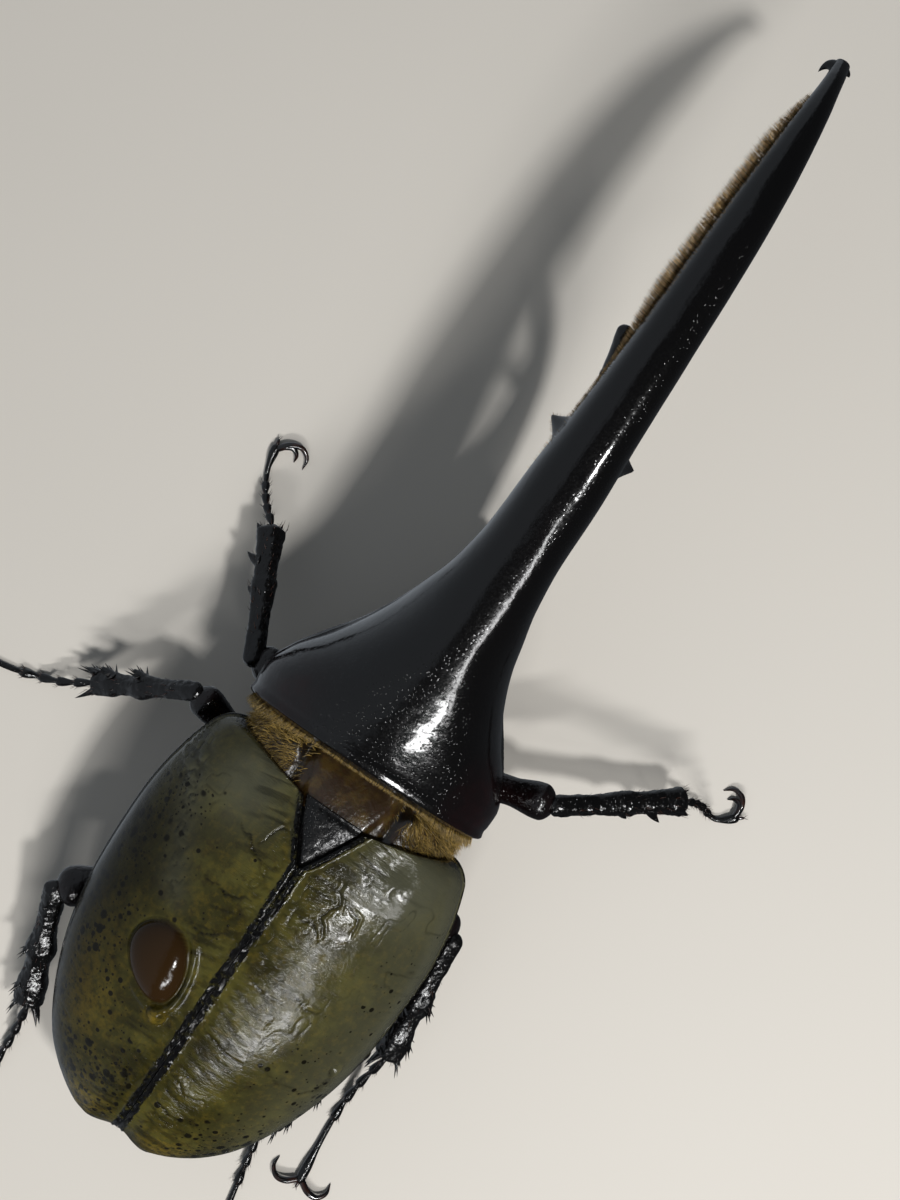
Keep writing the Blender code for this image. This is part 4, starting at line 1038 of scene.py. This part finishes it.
def forebody_grid(sizes):
    """Prothorax and horn as one skin of rings. Bells of the ring's angle and of y raise the bead
    along the side and hind margins, and the tooth on each side of the horn."""
    edge = -4.9 - 1.2 * (1 - np.cos(np.linspace(0, math.pi / 2, 22)))
    tip = -112 - 7.5 * np.sin(np.linspace(0, math.pi / 2, 30))
    y = np.concatenate([edge, np.linspace(-6.1, -112, 350)[1:], tip[1:]])
    rise = fair(y - 0.5, *FOREBODY.T[[0, 3]]) - fair(y + 0.5, *FOREBODY.T[[0, 3]])
    lean = np.arctan(rise) * ease((-36 - y) / 22)
    change = ease((-24 - y) / 14)
    flatter = 0.45 * change * (1 - ease((-98 - y) / 16))
    grid = body_rings(FOREBODY, y, 240, lean, 2.2 + flatter, 2.4 - 0.5 * change)
    above = grid[..., 2] - fair(y, *FOREBODY.T[[0, 3]])[:, None]
    wide, at = np.abs(grid[..., 0]), grid[..., 1]
    margin = sizes.margin / MM
    height = hump(above, 0.42) - 0.8 * hump(above - 1.0, 0.4)
    height = margin * height * ease((at + 31) / 6) * (wide > 4)
    hind = 0.5 * hump(at + 5.9, 0.32) - 0.35 * hump(at + 6.8, 0.38)
    height += margin * hind * ease((above + 3) / 3)
    height += 0.05 * uneven(grid, 9, 40)
    height += 0.018 * uneven(grid, (1.2, 3.5, 1.2), 41) * ease((-30 - at) / 20)
    # Shallow hollow in each flank, above the front corner.
    height -= 0.5 * hump(np.hypot(wide - 13, at + 17), 4.5) * (above > 0)
    grid = raised(grid, height)
    half, mid = (float(fair(HORN_TOOTH_Y, *FOREBODY.T[[0, k]])) for k in (1, 3))
    for side in (-1, 1):
        off = np.linalg.norm(grid - (side * half * 0.96, HORN_TOOTH_Y, mid - 2.2), axis=-1)
        reach = HORN_TOOTH_LENGTH * np.clip(1 - off / 2.3, 0, 1) ** 1.5
        grid = grid + np.array([side * 0.72, -0.3, -0.62]) * reach[..., None]
    return grid


def forebody_marks(grid):
    """Where the forebody is punctured and where red shows: smooth steps and a bell of the place."""
    x, at, z = grid[..., 0], grid[..., 1], grid[..., 2]
    rear = ease((at + 30) / 16)
    patch = hump(at + 78, 26) * ease((-x - 0.4) / 1.2) * 0.9
    flank = ease((np.abs(x) - 9) / 6) * ease((at + 20) / 10) * 0.8
    low = ease((36 - z) / 12) * ease((-30 - at) / 10)
    pits = 0.16 + 0.85 * rear * (1 - 0.7 * flank) + patch
    return {"pits": np.clip(pits, 0, 1), "red": np.clip(0.35 * flank + 0.3 * low, 0, 1)}


def horn_tip():
    """The two lobes that end the horn, the left one longer and hooked back."""
    left = spike((0.3, -118.5, 35.9), (2.15, -117.3, 34.7), 2.2, (0.35, -0.6, 0.3))
    right = spike((-0.2, -118.8, 35.7), (-1.75, -119.0, 34.9), 1.8, (-0.1, -0.2, 0.2))
    return left, right


def head_shape():
    """The head capsule: rings with a ridge over each eye, and a clypeus drawn out in two points."""
    front = -41 - np.sin(np.linspace(0, math.pi / 2, 14))[1:]
    grid = body_rings(HEAD, np.append(np.linspace(-26, -41, 80), front), 96)
    x, at, z = grid[..., 0], grid[..., 1], grid[..., 2]
    height = 0.5 * hump(z - 18.2, 0.7) * hump(at + 33.5, 3.0)
    height += 0.08 * uneven(grid, 1.0, 50) + 0.12 * uneven(grid, 2.8, 51)
    height += 0.7 * hump(np.abs(x) - 2.6, 0.9) * hump(at + 41, 1.6) * (z > 12)
    return skin(raised(grid, height), None, (0, -42.3, 13.2))


def cephalic_shape():
    """The head's horn: a tube whose foot flares into the head, with its two upright teeth."""
    share = np.linspace(0, 1, 150)
    path = spread(CEPHALIC_PATH, share)
    known = np.linspace(0, 1, 6)
    flare = (1 + 0.35 * np.exp(-share / 0.07)) * blunt(path, 1.1, False)
    side, deep = (fair(share, known, v) * flare for v in (CEPHALIC_SIDE, CEPHALIC_DEEP))
    grid = tube(path, side, deep, 48)
    grid = raised(grid, 0.05 * uneven(grid, 1.3, 60) + 0.05 * uneven(grid, 3.5, 61))
    teeth = []
    for at, width, reach in CEPHALIC_TEETH:
        foot = spread(CEPHALIC_PATH, [np.interp(-at, -path[:, 1], share)])[0] + (0, 0, 0.6)
        tip = foot + reach * np.array([0, 0.25, 0.97])
        teeth.append(spike(foot, tip, width * 1.15, (0, -0.5, 0), 18, 20))
    return joined(skin(grid), *teeth)


def feeler_shape(side):
    """A feeler: a swollen first segment, a beaded stalk, and a club of three leaves."""
    route = np.array(FEELER_PATH) * (side, 1, 1)
    share = np.linspace(0, 1, 90)
    path = spread(route, share)
    bead = 0.2 + 0.11 * np.abs(np.sin(share * math.pi * 9)) + 0.3 * hump(share - 0.12, 0.1)
    parts = [skin(tube(path, bead, bead, 12))]
    for k in range(3):
        t = np.linspace(0, 1, 24)
        tip = path[-1] + np.array([side * (0.3 - 0.45 * k), -2.9 + 0.25 * k, -0.2 + 0.35 * k])
        leaf = path[-1] + (tip - path[-1]) * t[:, None]
        wide = 0.55 * np.sqrt(np.clip(t * (1.02 - t) * 4, 0.01, 1)) + 0.08
        parts.append(skin(tube(leaf, wide * 0.36, wide, 14)))
    return joined(*parts)


def limb(path_points, radii, sides=20, rows=40, flat=1.0):
    """A smooth rounded limb through a few points, with radii at even shares of its length."""
    share = np.linspace(0, 1, rows)
    path = spread(path_points, share)
    radius = fair(share, np.linspace(0, 1, len(radii)), radii) * blunt(path, max(radii) * 0.8)
    return skin(tube(path, radius, radius * flat, sides))


def trunk_grid():
    """Metathorax and abdomen as one skin: the dome's section set in under the wing cases, with
    grooves across the underside between the belly plates and a groove along the breast."""
    rear = 50 + 7.2 * np.sin(np.linspace(0, math.pi / 2, 34))
    y = np.append(np.linspace(MESO_BACK + GAP, 50, 190), rear[1:])
    half, top, rim = dome(y, BODY_INSET)
    half = half * (0.8 + 0.2 * ease((y - MESO_BACK) / 14))
    under = np.minimum(BELLY + (BELLY_REAR - BELLY) * ease((y - 38) / 22), rim - 0.4)
    grid = body_rings(np.stack([y, half, top, rim, under], 1), y, 160)
    low = ease((rim[:, None] - grid[..., 2]) / 3)
    x, at = np.abs(grid[..., 0]), grid[..., 1]
    height = 0.08 * uneven(grid, 2.2, 70) - 0.4 * hump(x, 0.5) * (at < META_BACK + 2)
    for groove in BELLY_GROOVES:
        off = at - groove - 0.02 * x**1.6
        height += 0.18 * hump(off + 1.2, 0.9) - 0.45 * hump(off, 0.4)
    return raised(grid, height * low)


def collar_grid():
    """The front of the middle body: a crowned ring whose middle plate stands up, with a pit and a
    knob at each end of the plate. Also where it is dark, and where the plate is."""
    y = np.linspace(MESO_FRONT, MESO_BACK + 0.6, 60)
    one = np.ones(len(y))
    top = MESO_TOP + 0.9 - 0.05 * (y - MESO_BACK) ** 2
    stations = np.stack([y, (MESO_HALF + 0.4) * one, top, 19 * one, (BELLY + 0.8) * one], 1)
    grid = body_rings(stations, y, 260, 0.0, 2.5, 2.4)
    x, at, z = np.abs(grid[..., 0]), grid[..., 1], grid[..., 2]
    upper = ease((z - 23) / 3)
    plate = 1 - ease(x - 6.4 + 0.3 * (at - MESO_FRONT))
    knob = np.hypot(x - 9.3, at + 3.2)
    height = upper * (0.75 * plate - 0.7 * hump(x - 7.6, 0.7) + 0.9 * hump(knob, 0.9))
    height += 0.12 * uneven(grid, 1.6, 80) * (1 - plate) + 0.05 * uneven(grid, 2.5, 81)
    # Darker on each knob and towards the sides. The dark along the groove at the foot of the
    # plate's side is painted shade.
    dark = upper * (0.9 * hump(knob, 1.2) + 0.8 * hump(x - 7.8, 0.6))
    return raised(grid, height), np.clip(dark + 0.55 * ease((x - 13) / 3), 0, 1), plate


def leg_axes(knee, ankle, outer_side):
    """Along the tibia, out towards its toothed edge, and up, as unit vectors."""
    ahead = unit(np.subtract(ankle, knee))
    outer = outer_side * unit(np.array([-ahead[1], ahead[0], 0]))
    return ahead, outer, np.cross(outer, ahead) * -outer_side


def femur_shape(root_at, hip, knee, thick):
    """Coxa and femur: a limb with two swellings, flattened a little, with a groove round the joint
    between them."""
    share = np.linspace(0, 1, 110)
    middle = (np.array(hip) + knee) / 2 + (0, 0, 0.4)
    path = spread((root_at, hip, middle, knee), share)
    radius = fair(share, FEMUR_STATIONS, FEMUR_RADII) * thick
    radius = radius * blunt(path, 2.0 * thick) - 0.35 * hump(share - 0.37, 0.012)
    grid = tube(path, radius, radius * 0.92, 44)
    return skin(raised(grid, 0.05 * uneven(grid, 1.2, 90) + 0.06 * uneven(grid, 3.0, 91)))


def tibia_shape(name, knee, ankle, outer_side, thick):
    """Tibia: a limb that widens to the foot, with lengthwise ridges, ring bulges where its teeth
    stand, the teeth along its outer edge and the spurs at its end. Also each tooth's foot and
    direction."""
    fore = name.startswith("fore")
    ahead, outer, up = leg_axes(knee, ankle, outer_side)
    span = np.linalg.norm(np.subtract(ankle, knee))
    share = np.linspace(0, 1, 150)
    path = spread((knee, ankle), share) - ahead * 1.1 * (1 - ease(share / 0.3))[:, None]
    radius = fair(share, TIBIA_STATIONS, TIBIA_RADII) * thick * blunt(path, 1.2 * thick)
    if not fore:
        radius = radius * (1 + 0.16 * hump(share - 0.5, 0.07) + 0.14 * hump(share - 0.8, 0.07))
    grid = tube(path, radius, radius * 0.8, 56)
    angle = np.arange(56) * 2 * math.pi / 56
    height = 0.06 * np.cos(angle * 5)[None] * (ease(share * 8) * ease((1 - share) * 12))[:, None]
    height = height + 0.09 * uneven(grid, 0.9, 95)
    height = height + 0.06 * uneven(grid, 0.5, 96) * (1 + np.sin(angle * 2))[None]
    parts, feet = [skin(raised(grid, height))], []
    for at, reach, lean, side, lift in FORE_TEETH if fore else REAR_TEETH:
        foot = knee + ahead * span * at + outer * side * 1.0 + up * lift
        way = unit(ahead * lean + outer * side + up * lift)
        spur = side < 0
        tip = foot + way * (reach + 1.0)
        parts.append(spike(foot, tip, 1.1 if spur else 2.1, ahead * -0.25, 14, 16))
        feet.append((foot, way))
        if spur or fore:
            continue
        # Bunches of short stiff spines beside the teeth of the middle and hind legs.
        for k in range(6):
            sway = unit(way + up * (k - 2.5) * 0.34 + ahead * (0.35 if k % 2 else 0.0))
            base = foot + outer * side * 0.5 + up * (k - 2.5) * 0.38
            parts.append(spike(base, base + sway * (reach + 1.1), 0.46, sides=7, rows=8))
    return joined(*parts), feet


def tarsus_path(leg):
    """The foot's middle line, and its radius: each of four beads grows from a thin neck to four
    fifths of its length, and the last, long segment thickens to a club."""
    share = np.linspace(0, 1, 190)
    path = spread(leg[3:7], share)
    radius = np.zeros(len(share))
    for start, stop in zip(TARSUS_JOINTS[:-2], TARSUS_JOINTS[1:-1]):
        u = np.clip((share - start) / (stop - start), 0, 1)
        close = np.sqrt(np.clip(1 - ((u - 0.8) / 0.2).clip(0) ** 2 * 0.85, 0, 1))
        bead = 0.36 + 0.34 * ease(u / 0.8) * close
        radius = np.where((share >= start) & (share < stop), bead, radius)
    u = np.clip((share - TARSUS_JOINTS[-2]) / (1 - TARSUS_JOINTS[-2]), 0, 1)
    club = fair(u, (0, 0.1, 0.45, 0.82, 0.95, 1), (0.36, 0.42, 0.48, 0.78, 0.74, 0.5))
    radius = np.where(share >= TARSUS_JOINTS[-2], club, radius) * leg[9]
    # Where it lies on the floor, the line runs at the height of the radius.
    low = 1 - ease((path[:, 2] - 0.95) / 1.4)
    path[:, 2] += (0.95 * radius - path[:, 2]) * low
    return share, path, radius * blunt(path, 0.5)


def tarsus_shape(leg):
    """The foot: rings along its path, pressed flat where they meet the floor."""
    _, path, radius = tarsus_path(leg)
    grid = tube(path, radius, radius, 24)
    grid[..., 2] = grid[..., 2].clip(0)
    points, quads, tris = skin(grid)
    points[:, 2] = points[:, 2].clip(0)
    return points, quads, tris


def claws_shape(leg):
    """Two long curved claws and the short pad with its two bristles between them."""
    toe = np.array(leg[6]) * (1, 1, 0) - (0, 0, 0.2)
    heading = unit((np.array(leg[6]) - leg[5]) * (1, 1, 0))
    beside = np.array([-heading[1], heading[0], 0])
    share = np.linspace(0, 1, 46)
    radius = fair(share, np.linspace(0, 1, 5), CLAW_RADII)
    parts = []
    for side, size in leg[10:12]:
        ahead, out, up = (np.array(CLAW_STATIONS) * (size, size, 1)).T
        flat = np.outer(ahead - 0.5, heading) + np.outer(side * (out + 0.45), beside)
        route = toe + flat + np.outer(up, (0, 0, 1))
        grid = tube(spread(route, share), radius, radius * 1.15, 16)
        grid[..., 2] = grid[..., 2].clip(0.02)
        parts.append(skin(grid))
    pad = toe + (0, 0, 0.9)
    parts.append(limb((pad, pad + heading * 0.5, pad + heading), (0.3, 0.26, 0.2), 12, 18))
    foot = pad + heading * 0.8
    for side in (-1, 1):
        tip = foot + heading * 0.9 + beside * side * 0.4 - (0, 0, 0.5)
        parts.append(spike(foot, tip, 0.14, sides=6, rows=8))
    return joined(*parts)


def leg_bristles(name, leg, feet, size):
    """Bristles of a leg: bunches under each tooth of the tibia, rows along its edges, and a wreath
    at the end of each bead of the foot."""
    draw = np.random.default_rng(len(name) * 7 + int(leg[2][0] * 10) % 97)
    knee, ankle = np.array(leg[2]), np.array(leg[3])
    ahead, outer, up = leg_axes(knee, ankle, leg[7])
    places, ways, lengths = [], [], []
    for foot, way in feet:
        places.append(foot + draw.normal(0, 0.5, (16, 3)) * 0.8)
        ways.append(way + ahead * 0.5 + draw.normal(0, 0.35, (16, 3)))
        lengths.append(size * draw.uniform(0.7, 1.3, 16))
    turn, reach = draw.uniform(0, 2 * math.pi, 90), draw.uniform(0.15, 0.98, 90)
    radial = np.outer(np.cos(turn), outer) + np.outer(np.sin(turn), up)
    thick = fair(reach, TIBIA_STATIONS, TIBIA_RADII) * leg[8]
    places.append(knee + np.outer(reach, ankle - knee) + radial * thick[:, None] * 0.8)
    ways.append(radial * 0.7 + ahead * 0.9 + draw.normal(0, 0.15, (90, 3)))
    lengths.append(size * draw.uniform(0.35, 0.75, 90))
    share, path, radius = tarsus_path(leg)
    for stop in TARSUS_JOINTS[1:-1]:
        k = int((stop - 0.02) * (len(share) - 1))
        along = unit(path[k + 1] - path[k - 1])
        across = unit(np.cross(along, (0, 0, 1)))
        turn = np.linspace(0, 2 * math.pi, 13)[:-1] + draw.uniform(-0.2, 0.2, 12)
        lift = np.cross(across, along)
        radial = np.outer(np.cos(turn), across) + np.outer(np.sin(turn), lift)
        places.append(path[k] + radial * radius[k] * 0.85)
        ways.append(radial * 0.75 + along)
        lengths.append(size * 0.62 * draw.uniform(0.7, 1.2, 12))
    places, ways, lengths = (np.concatenate(parts) for parts in (places, ways, lengths))
    ways = unit(ways)
    keep = (places[:, 2] + ways[:, 2] * lengths > 0.05) & (places[:, 2] > 0.1)
    places, ways, lengths = places[keep], ways[keep], lengths[keep]
    spots = np.stack([np.linspace(0, 1, len(places)), draw.random(len(places))], 1)
    return hairs(places, ways, lengths, 0.11, ahead * 0.12 + 0 * ways, spots, 4)


def horn_brush(grid, sizes):
    """Bristles under the horn: rooted below its widest line, standing square to the skin with a
    twist to the left, leaning to the tip, and longest in the outer half."""
    facing, at = normals(grid), grid[..., 1]
    lower = 0.94 * facing[..., 2] - 0.34 * facing[..., 0]
    share = ease((-0.22 - lower) / 0.3) * ease((-48 - at) / 24) * ease((at + 113) / 4)

    def reach(roots):
        outer = ease((-66 - roots[:, 1]) / 13) * ease((roots[:, 1] + 114) / 12)
        return sizes.brush / MM * (0.25 + 0.75 * outer)

    return coat(
        grid, share, lambda roots: (0.65, -0.15, 0), reach, sizes.hair_width / MM, count=12000,
        seed=11, stand=1, stray=0.13, low=0.75, high=1.1, curl=0.06, bend=(0, -0.1, 0), sections=3,
    )


def collar_hairs(grid, plate, sizes):
    """Golden hair on both sides of the collar's plate, combed outwards and back in swirls."""
    wide, z = np.abs(grid[..., 0]), grid[..., 2]
    share = ease((wide - 8.0) / 1.5) * ease((z - 15) / 4) * (1 - plate)
    share = share + 0.12 * hump(wide - 7.2, 0.5) * ease((z - 23) / 3)

    def comb(roots):
        swirl = uneven(roots, 3.0, 23) * 1.3
        out = np.sign(roots[:, 0]) * np.cos(swirl) * 0.8
        return np.stack([out, 0.55 + 0.6 * np.sin(swirl), 0 * swirl], 1)

    return coat(
        grid, share, comb, lambda roots: sizes.collar_hair / MM, sizes.hair_width / MM, count=4200,
        seed=21, stand=0.6, stray=0.3, low=0.5, high=1.1, curl=0.12, lie=-0.3,
    )


def hind_fringe(grid, sizes):
    """A fringe under the pronotum's hind edge, pointing back and down over the collar."""
    share = hump(grid[..., 1] + 4.95, 0.12) * ease((grid[..., 2] - 17) / 4)

    def comb(roots):
        out = 0.35 * np.sign(roots[:, 0]) * ease((np.abs(roots[:, 0]) - 6) / 8)
        return np.stack([out, 0.9 + 0 * out, -0.25 + 0 * out], 1)

    def reach(roots):
        return sizes.fringe / MM * (0.45 + 1.1 * ease((np.abs(roots[:, 0]) - 8) / 6))

    return coat(
        grid, share, comb, reach, sizes.hair_width / MM, count=1500,
        seed=31, stand=0.25, stray=0.14, low=0.7, high=1.2, curl=0.1, sections=3,
    )


def belly_hairs(grid, sizes):
    """Russet hair on the sides of the breast and in sparse rows across the belly plates."""
    down, x, at = -normals(grid)[..., 2], np.abs(grid[..., 0]), grid[..., 1]
    breast = ease((x - 6) / 5) * ease((META_BACK + 3 - at) / 4) * ease((down + 0.15) / 0.5)
    rows = sum(hump(at - row - 0.02 * x**1.6, 0.35) for row in (31.5, 37, 42.4, 47.2, 51.4))
    share = breast + 0.35 * rows * ease((down - 0.05) / 0.3)

    def reach(roots):
        return sizes.belly_hair / MM * np.where(roots[:, 1] > 28, 0.6, 1.0)

    return coat(
        grid, share, lambda roots: (0.0, 0.75, -0.1), reach, sizes.hair_width / MM, count=4200,
        seed=41, stand=0.5, stray=0.2, low=0.5, high=1.1, bend=(0, 0, -0.2),
    )


def mouth_hairs(sizes, count=900):
    """Brushes at the mouth: russet hairs fanned out from both sides of its underside."""
    draw = np.random.default_rng(52)
    side = np.where(draw.random(count) < 0.5, -1, 1)
    across, back, z = (
        draw.uniform(*ends, count) for ends in ((0.4, 3.2), (-41.6, -37.5), (9.8, 10.8))
    )
    places = np.stack([side * across, back, z], 1)
    out, ahead, down = (
        draw.uniform(*ends, count) for ends in ((0, 0.6), (-1.0, -0.3), (-0.9, -0.3))
    )
    ways = unit(np.stack([side * out, ahead, down], 1))
    spots = np.stack([draw.random(count), draw.random(count)], 1)
    lengths = draw.uniform(1.2, 2.8, count)
    curls = 0.15 * draw.normal(0, 1, ways.shape)
    return hairs(places, ways, lengths, sizes.hair_width / MM, curls, spots, 4)


class Builder(bpy.types.Operator):
    """What the beetle's operators share"""

    bl_options = {"REGISTER", "UNDO"}

    @property
    def sizes(self):
        """The relief and hair sizes of the scene."""
        return bpy.context.scene.beetle_sizes


class BEETLE_OT_wing_cases(Builder):
    """Builds both wing cases with their wrinkles, creases, spots and blister"""

    bl_idname = "beetle.wing_cases"
    bl_label = "Wing cases"

    def execute(self, context):
        for side, name in ((1, "wing_case_left"), (-1, "wing_case_right")):
            shape, values = wing_case(side, self.sizes)
            piece(name + "_cuticle", shape, "beetle", "waxy_olive_cuticle", (name,), values)
        return {"FINISHED"}


class BEETLE_OT_scutellum(Builder):
    """Builds the black triangle between the wing cases"""

    bl_idname = "beetle.scutellum"
    bl_label = "Scutellum"

    def execute(self, context):
        shape = scutellum_shape()
        piece("scutellum_plate", shape, "beetle", "granulate_black_cuticle", ("scutellum",))
        return {"FINISHED"}


class BEETLE_OT_forebody(Builder):
    """Builds prothorax and long horn as one skin, with the lobes of its tip and the hair on it"""

    bl_idname = "beetle.forebody"
    bl_label = "Pronotum and horn"

    def execute(self, context):
        grid = forebody_grid(self.sizes)
        shape = joined(skin(grid, None, (0, *HORN_END)), *horn_tip())
        extra = len(shape[0]) - grid[..., 0].size
        values = {
            name: np.append(field, np.full(extra, field[-1].mean()))
            for name, field in forebody_marks(grid).items()
        }
        nodes = ("pronotum", "thoracic_horn")
        piece("pronotum_and_horn", shape, "forebody", "polished_horn_cuticle", nodes, values)
        brush, fringe = horn_brush(grid, self.sizes), hind_fringe(grid, self.sizes)
        hair_piece("horn_brush", brush, "forebody", "orange_brush_hair")
        hair_piece("pronotum_fringe", fringe, "forebody", "golden_hair")
        return {"FINISHED"}


class BEETLE_OT_head(Builder):
    """Builds the head, its horn, eyes, feelers, jaws, palps and the hair at the mouth"""

    bl_idname = "beetle.head"
    bl_label = "Head"

    def execute(self, context):
        black = "punctured_leg_cuticle"
        piece("head_capsule", head_shape(), "skull", "granulate_black_cuticle", ("head",))
        shape = cephalic_shape()
        values = {"pits": np.full(len(shape[0]), 0.35), "red": np.full(len(shape[0]), 0.05)}
        piece("head_horn", shape, "skull", "polished_horn_cuticle", ("cephalic_horn",), values)
        for side, word in ((1, "left"), (-1, "right")):
            mirror = (side, 1, 1)
            lens = ball(np.array(EYE_AT) * mirror, EYE_RADII)
            piece(f"eye_{word}_lens", lens, "skull", "faceted_eye_lens", (f"eye_{word}",))
            feeler = feeler_shape(side)
            piece(f"feeler_{word}", feeler, "skull", black, (f"antenna_{word}",))
            jaw = limb(np.array(JAW_PATH) * mirror, JAW_RADII, flat=0.7)
            piece(f"jaw_{word}", jaw, "skull", black, (f"mandible_{word}",))
            palp = limb(np.array(PALP_PATH) * mirror, PALP_RADII, 14, 50)
            piece(f"palp_{word}", palp, "skull", "polished_claw_chitin")
        hair_piece("mouth_brushes", mouth_hairs(self.sizes), "skull", "russet_hair")
        return {"FINISHED"}


class BEETLE_OT_trunk(Builder):
    """Builds the collar and the trunk under the wing cases, with their hair"""

    bl_idname = "beetle.trunk"
    bl_label = "Collar and trunk"

    def execute(self, context):
        grid, dark, plate = collar_grid()
        values = {"dark": dark}
        piece("collar", skin(grid), "beetle", "thin_amber_cuticle", ("mesothorax",), values)
        hair_piece("collar_hair", collar_hairs(grid, plate, self.sizes), "beetle", "golden_hair")
        grid, nodes = trunk_grid(), ("metathorax", "abdomen")
        piece("trunk_skin", skin(grid), "beetle", "brown_belly_cuticle", nodes)
        hair_piece("belly_hair", belly_hairs(grid, self.sizes), "beetle", "russet_hair")
        return {"FINISHED"}


class BEETLE_OT_legs(Builder):
    """Builds the six legs with their teeth, claws and bristles"""

    bl_idname = "beetle.legs"
    bl_label = "Legs"

    def execute(self, context):
        black = "punctured_leg_cuticle"
        for name, leg in LEGS.items():
            femur = femur_shape(leg[0], leg[1], leg[2], leg[8])
            values = {"red": np.full(len(femur[0]), 0.15)}
            piece(name + "_thigh", femur, "beetle", black, (name + "_femur",), values)
            tibia, feet = tibia_shape(name, leg[2], leg[3], leg[7], leg[8])
            piece(name + "_shin", tibia, "beetle", black, (name + "_tibia",))
            piece(name + "_foot", tarsus_shape(leg), "beetle", black, (name + "_tarsus",))
            piece(name + "_claws", claws_shape(leg), "beetle", "polished_claw_chitin")
            bristles = leg_bristles(name, leg, feet, self.sizes.bristle / MM)
            hair_piece(name + "_bristles", bristles, "beetle", "leg_bristle")
        return {"FINISHED"}


def world_matrix(at, across, up, back):
    """The matrix of an object at a place in mm of the beetle's frame, whose X, Y and Z point
    these ways."""
    matrix = np.eye(4)
    matrix[:3, :3] = np.stack([across, up, back], 1)
    matrix[:3, 3] = placed(at, "beetle")
    return Matrix(matrix.tolist())


def area_light(name, at, size, power, along):
    """A rectangular light at a place in mm of the beetle's frame, turned to the beetle. Its second
    size lies in the direction along. The camera doesn't see it."""
    light = bpy.data.lights.new(name, "AREA")
    light.shape = "RECTANGLE"
    light.size, light.size_y = (v * MM for v in size)
    light.energy = power
    made = bpy.data.objects.new(name, light)
    bpy.context.scene.collection.objects.link(made)
    back = unit(np.subtract(at, LIGHT_AIM))
    across = unit(np.cross(along, back))
    made.matrix_world = world_matrix(at, across, np.cross(back, across), back)
    made.visible_camera = False


class BEETLE_OT_stage(bpy.types.Operator):
    """Builds the floor, the studio lights and the camera"""

    bl_idname = "beetle.stage"
    bl_label = "Stage"

    def execute(self, context):
        scene = context.scene
        mesh = bpy.data.meshes.new("floor")
        reach = FLOOR_HALF
        corners = [(-reach, -reach, 0), (reach, -reach, 0), (reach, reach, 0), (-reach, reach, 0)]
        mesh.from_pydata(corners, [], [(0, 1, 2, 3)])
        mesh.materials.append(material("matt_painted_board"))
        floor = bpy.data.objects.new("floor", mesh)
        scene.collection.objects.link(floor)
        floor.visible_glossy = False
        world = bpy.data.worlds.new("studio")
        scene.world = world
        world.use_nodes = True
        node = functools.partial(add, world.node_tree)
        # Half of the room is pale and half is dim, with an uneven border between them, which the
        # gloss shows. The camera sees a plain backdrop.
        way = node("TexCoord").outputs["Generated"]
        ragged = node("TexNoise", way, Scale=9.0, Detail=4.0)
        sideways = node("SeparateXYZ", way).outputs["X"]
        border = node("Math", ragged, 0.8, sideways, operation="MULTIPLY_ADD")
        strength = node("MapRange", border, 0.44, 0.54, 0.06, 0.35, **SMOOTH)
        room = node("Background", srgb("#dfe8f2"), strength)
        backdrop = node("Background", srgb("#b9b4ab"), 1.0)
        seen = node("LightPath").outputs["Is Camera Ray"]
        feed(world.node_tree.nodes["World Output"], node("MixShader", seen, room, backdrop))
        scene.view_settings.view_transform = "Standard"
        area_light("rear_strip", (-312, 473, 600), (50, 320), 2.7, (0.735, 0.68, 0.0))
        area_light("front_strip", (-360, 250, 600), (50, 300), 0.7, (0.84, -0.54, 0.0))
        area_light("lamp", (-320, 20, 600), (70, 70), 2.4, (0.0, 1.0, 0.0))
        camera = bpy.data.objects.new("camera", bpy.data.cameras.new("camera"))
        scene.collection.objects.link(camera)
        camera.data.lens, camera.data.sensor_width = CAMERA_LENS, 36.0
        camera.data.clip_start = 0.01
        camera.matrix_world = world_matrix(CAMERA_AT, *CAMERA_AXES)
        scene.camera = camera
        return {"FINISHED"}


OPERATORS = (
    BEETLE_OT_wing_cases,
    BEETLE_OT_scutellum,
    BEETLE_OT_forebody,
    BEETLE_OT_head,
    BEETLE_OT_trunk,
    BEETLE_OT_legs,
    BEETLE_OT_stage,
)


class BEETLE_PT_panel(bpy.types.Panel):
    """Lists the beetle's pieces, sizes and colours"""

    bl_idname = "BEETLE_PT_panel"
    bl_label = "Hercules beetle"
    bl_space_type = "VIEW_3D"
    bl_region_type = "UI"
    bl_category = "Beetle"

    def draw(self, context):
        for operator in OPERATORS:
            self.layout.operator(operator.bl_idname)
        for group in (context.scene.beetle_sizes, context.scene.beetle_colours):
            column = self.layout.column()
            for name in group.__annotations__:
                column.prop(group, name)


CLASSES = (BeetleSizes, BeetleColours, *OPERATORS, BEETLE_PT_panel)


def register():
    for made in CLASSES:
        bpy.utils.register_class(made)
    bpy.types.Scene.beetle_sizes = bpy.props.PointerProperty(type=BeetleSizes)
    bpy.types.Scene.beetle_colours = bpy.props.PointerProperty(type=BeetleColours)


def unregister():
    del bpy.types.Scene.beetle_colours
    del bpy.types.Scene.beetle_sizes
    for made in reversed(CLASSES):
        bpy.utils.unregister_class(made)


def main():
    register()
    for operator in OPERATORS:
        group, name = operator.bl_idname.split(".")
        getattr(getattr(bpy.ops, group), name)()


if __name__ == "__main__":
    main()
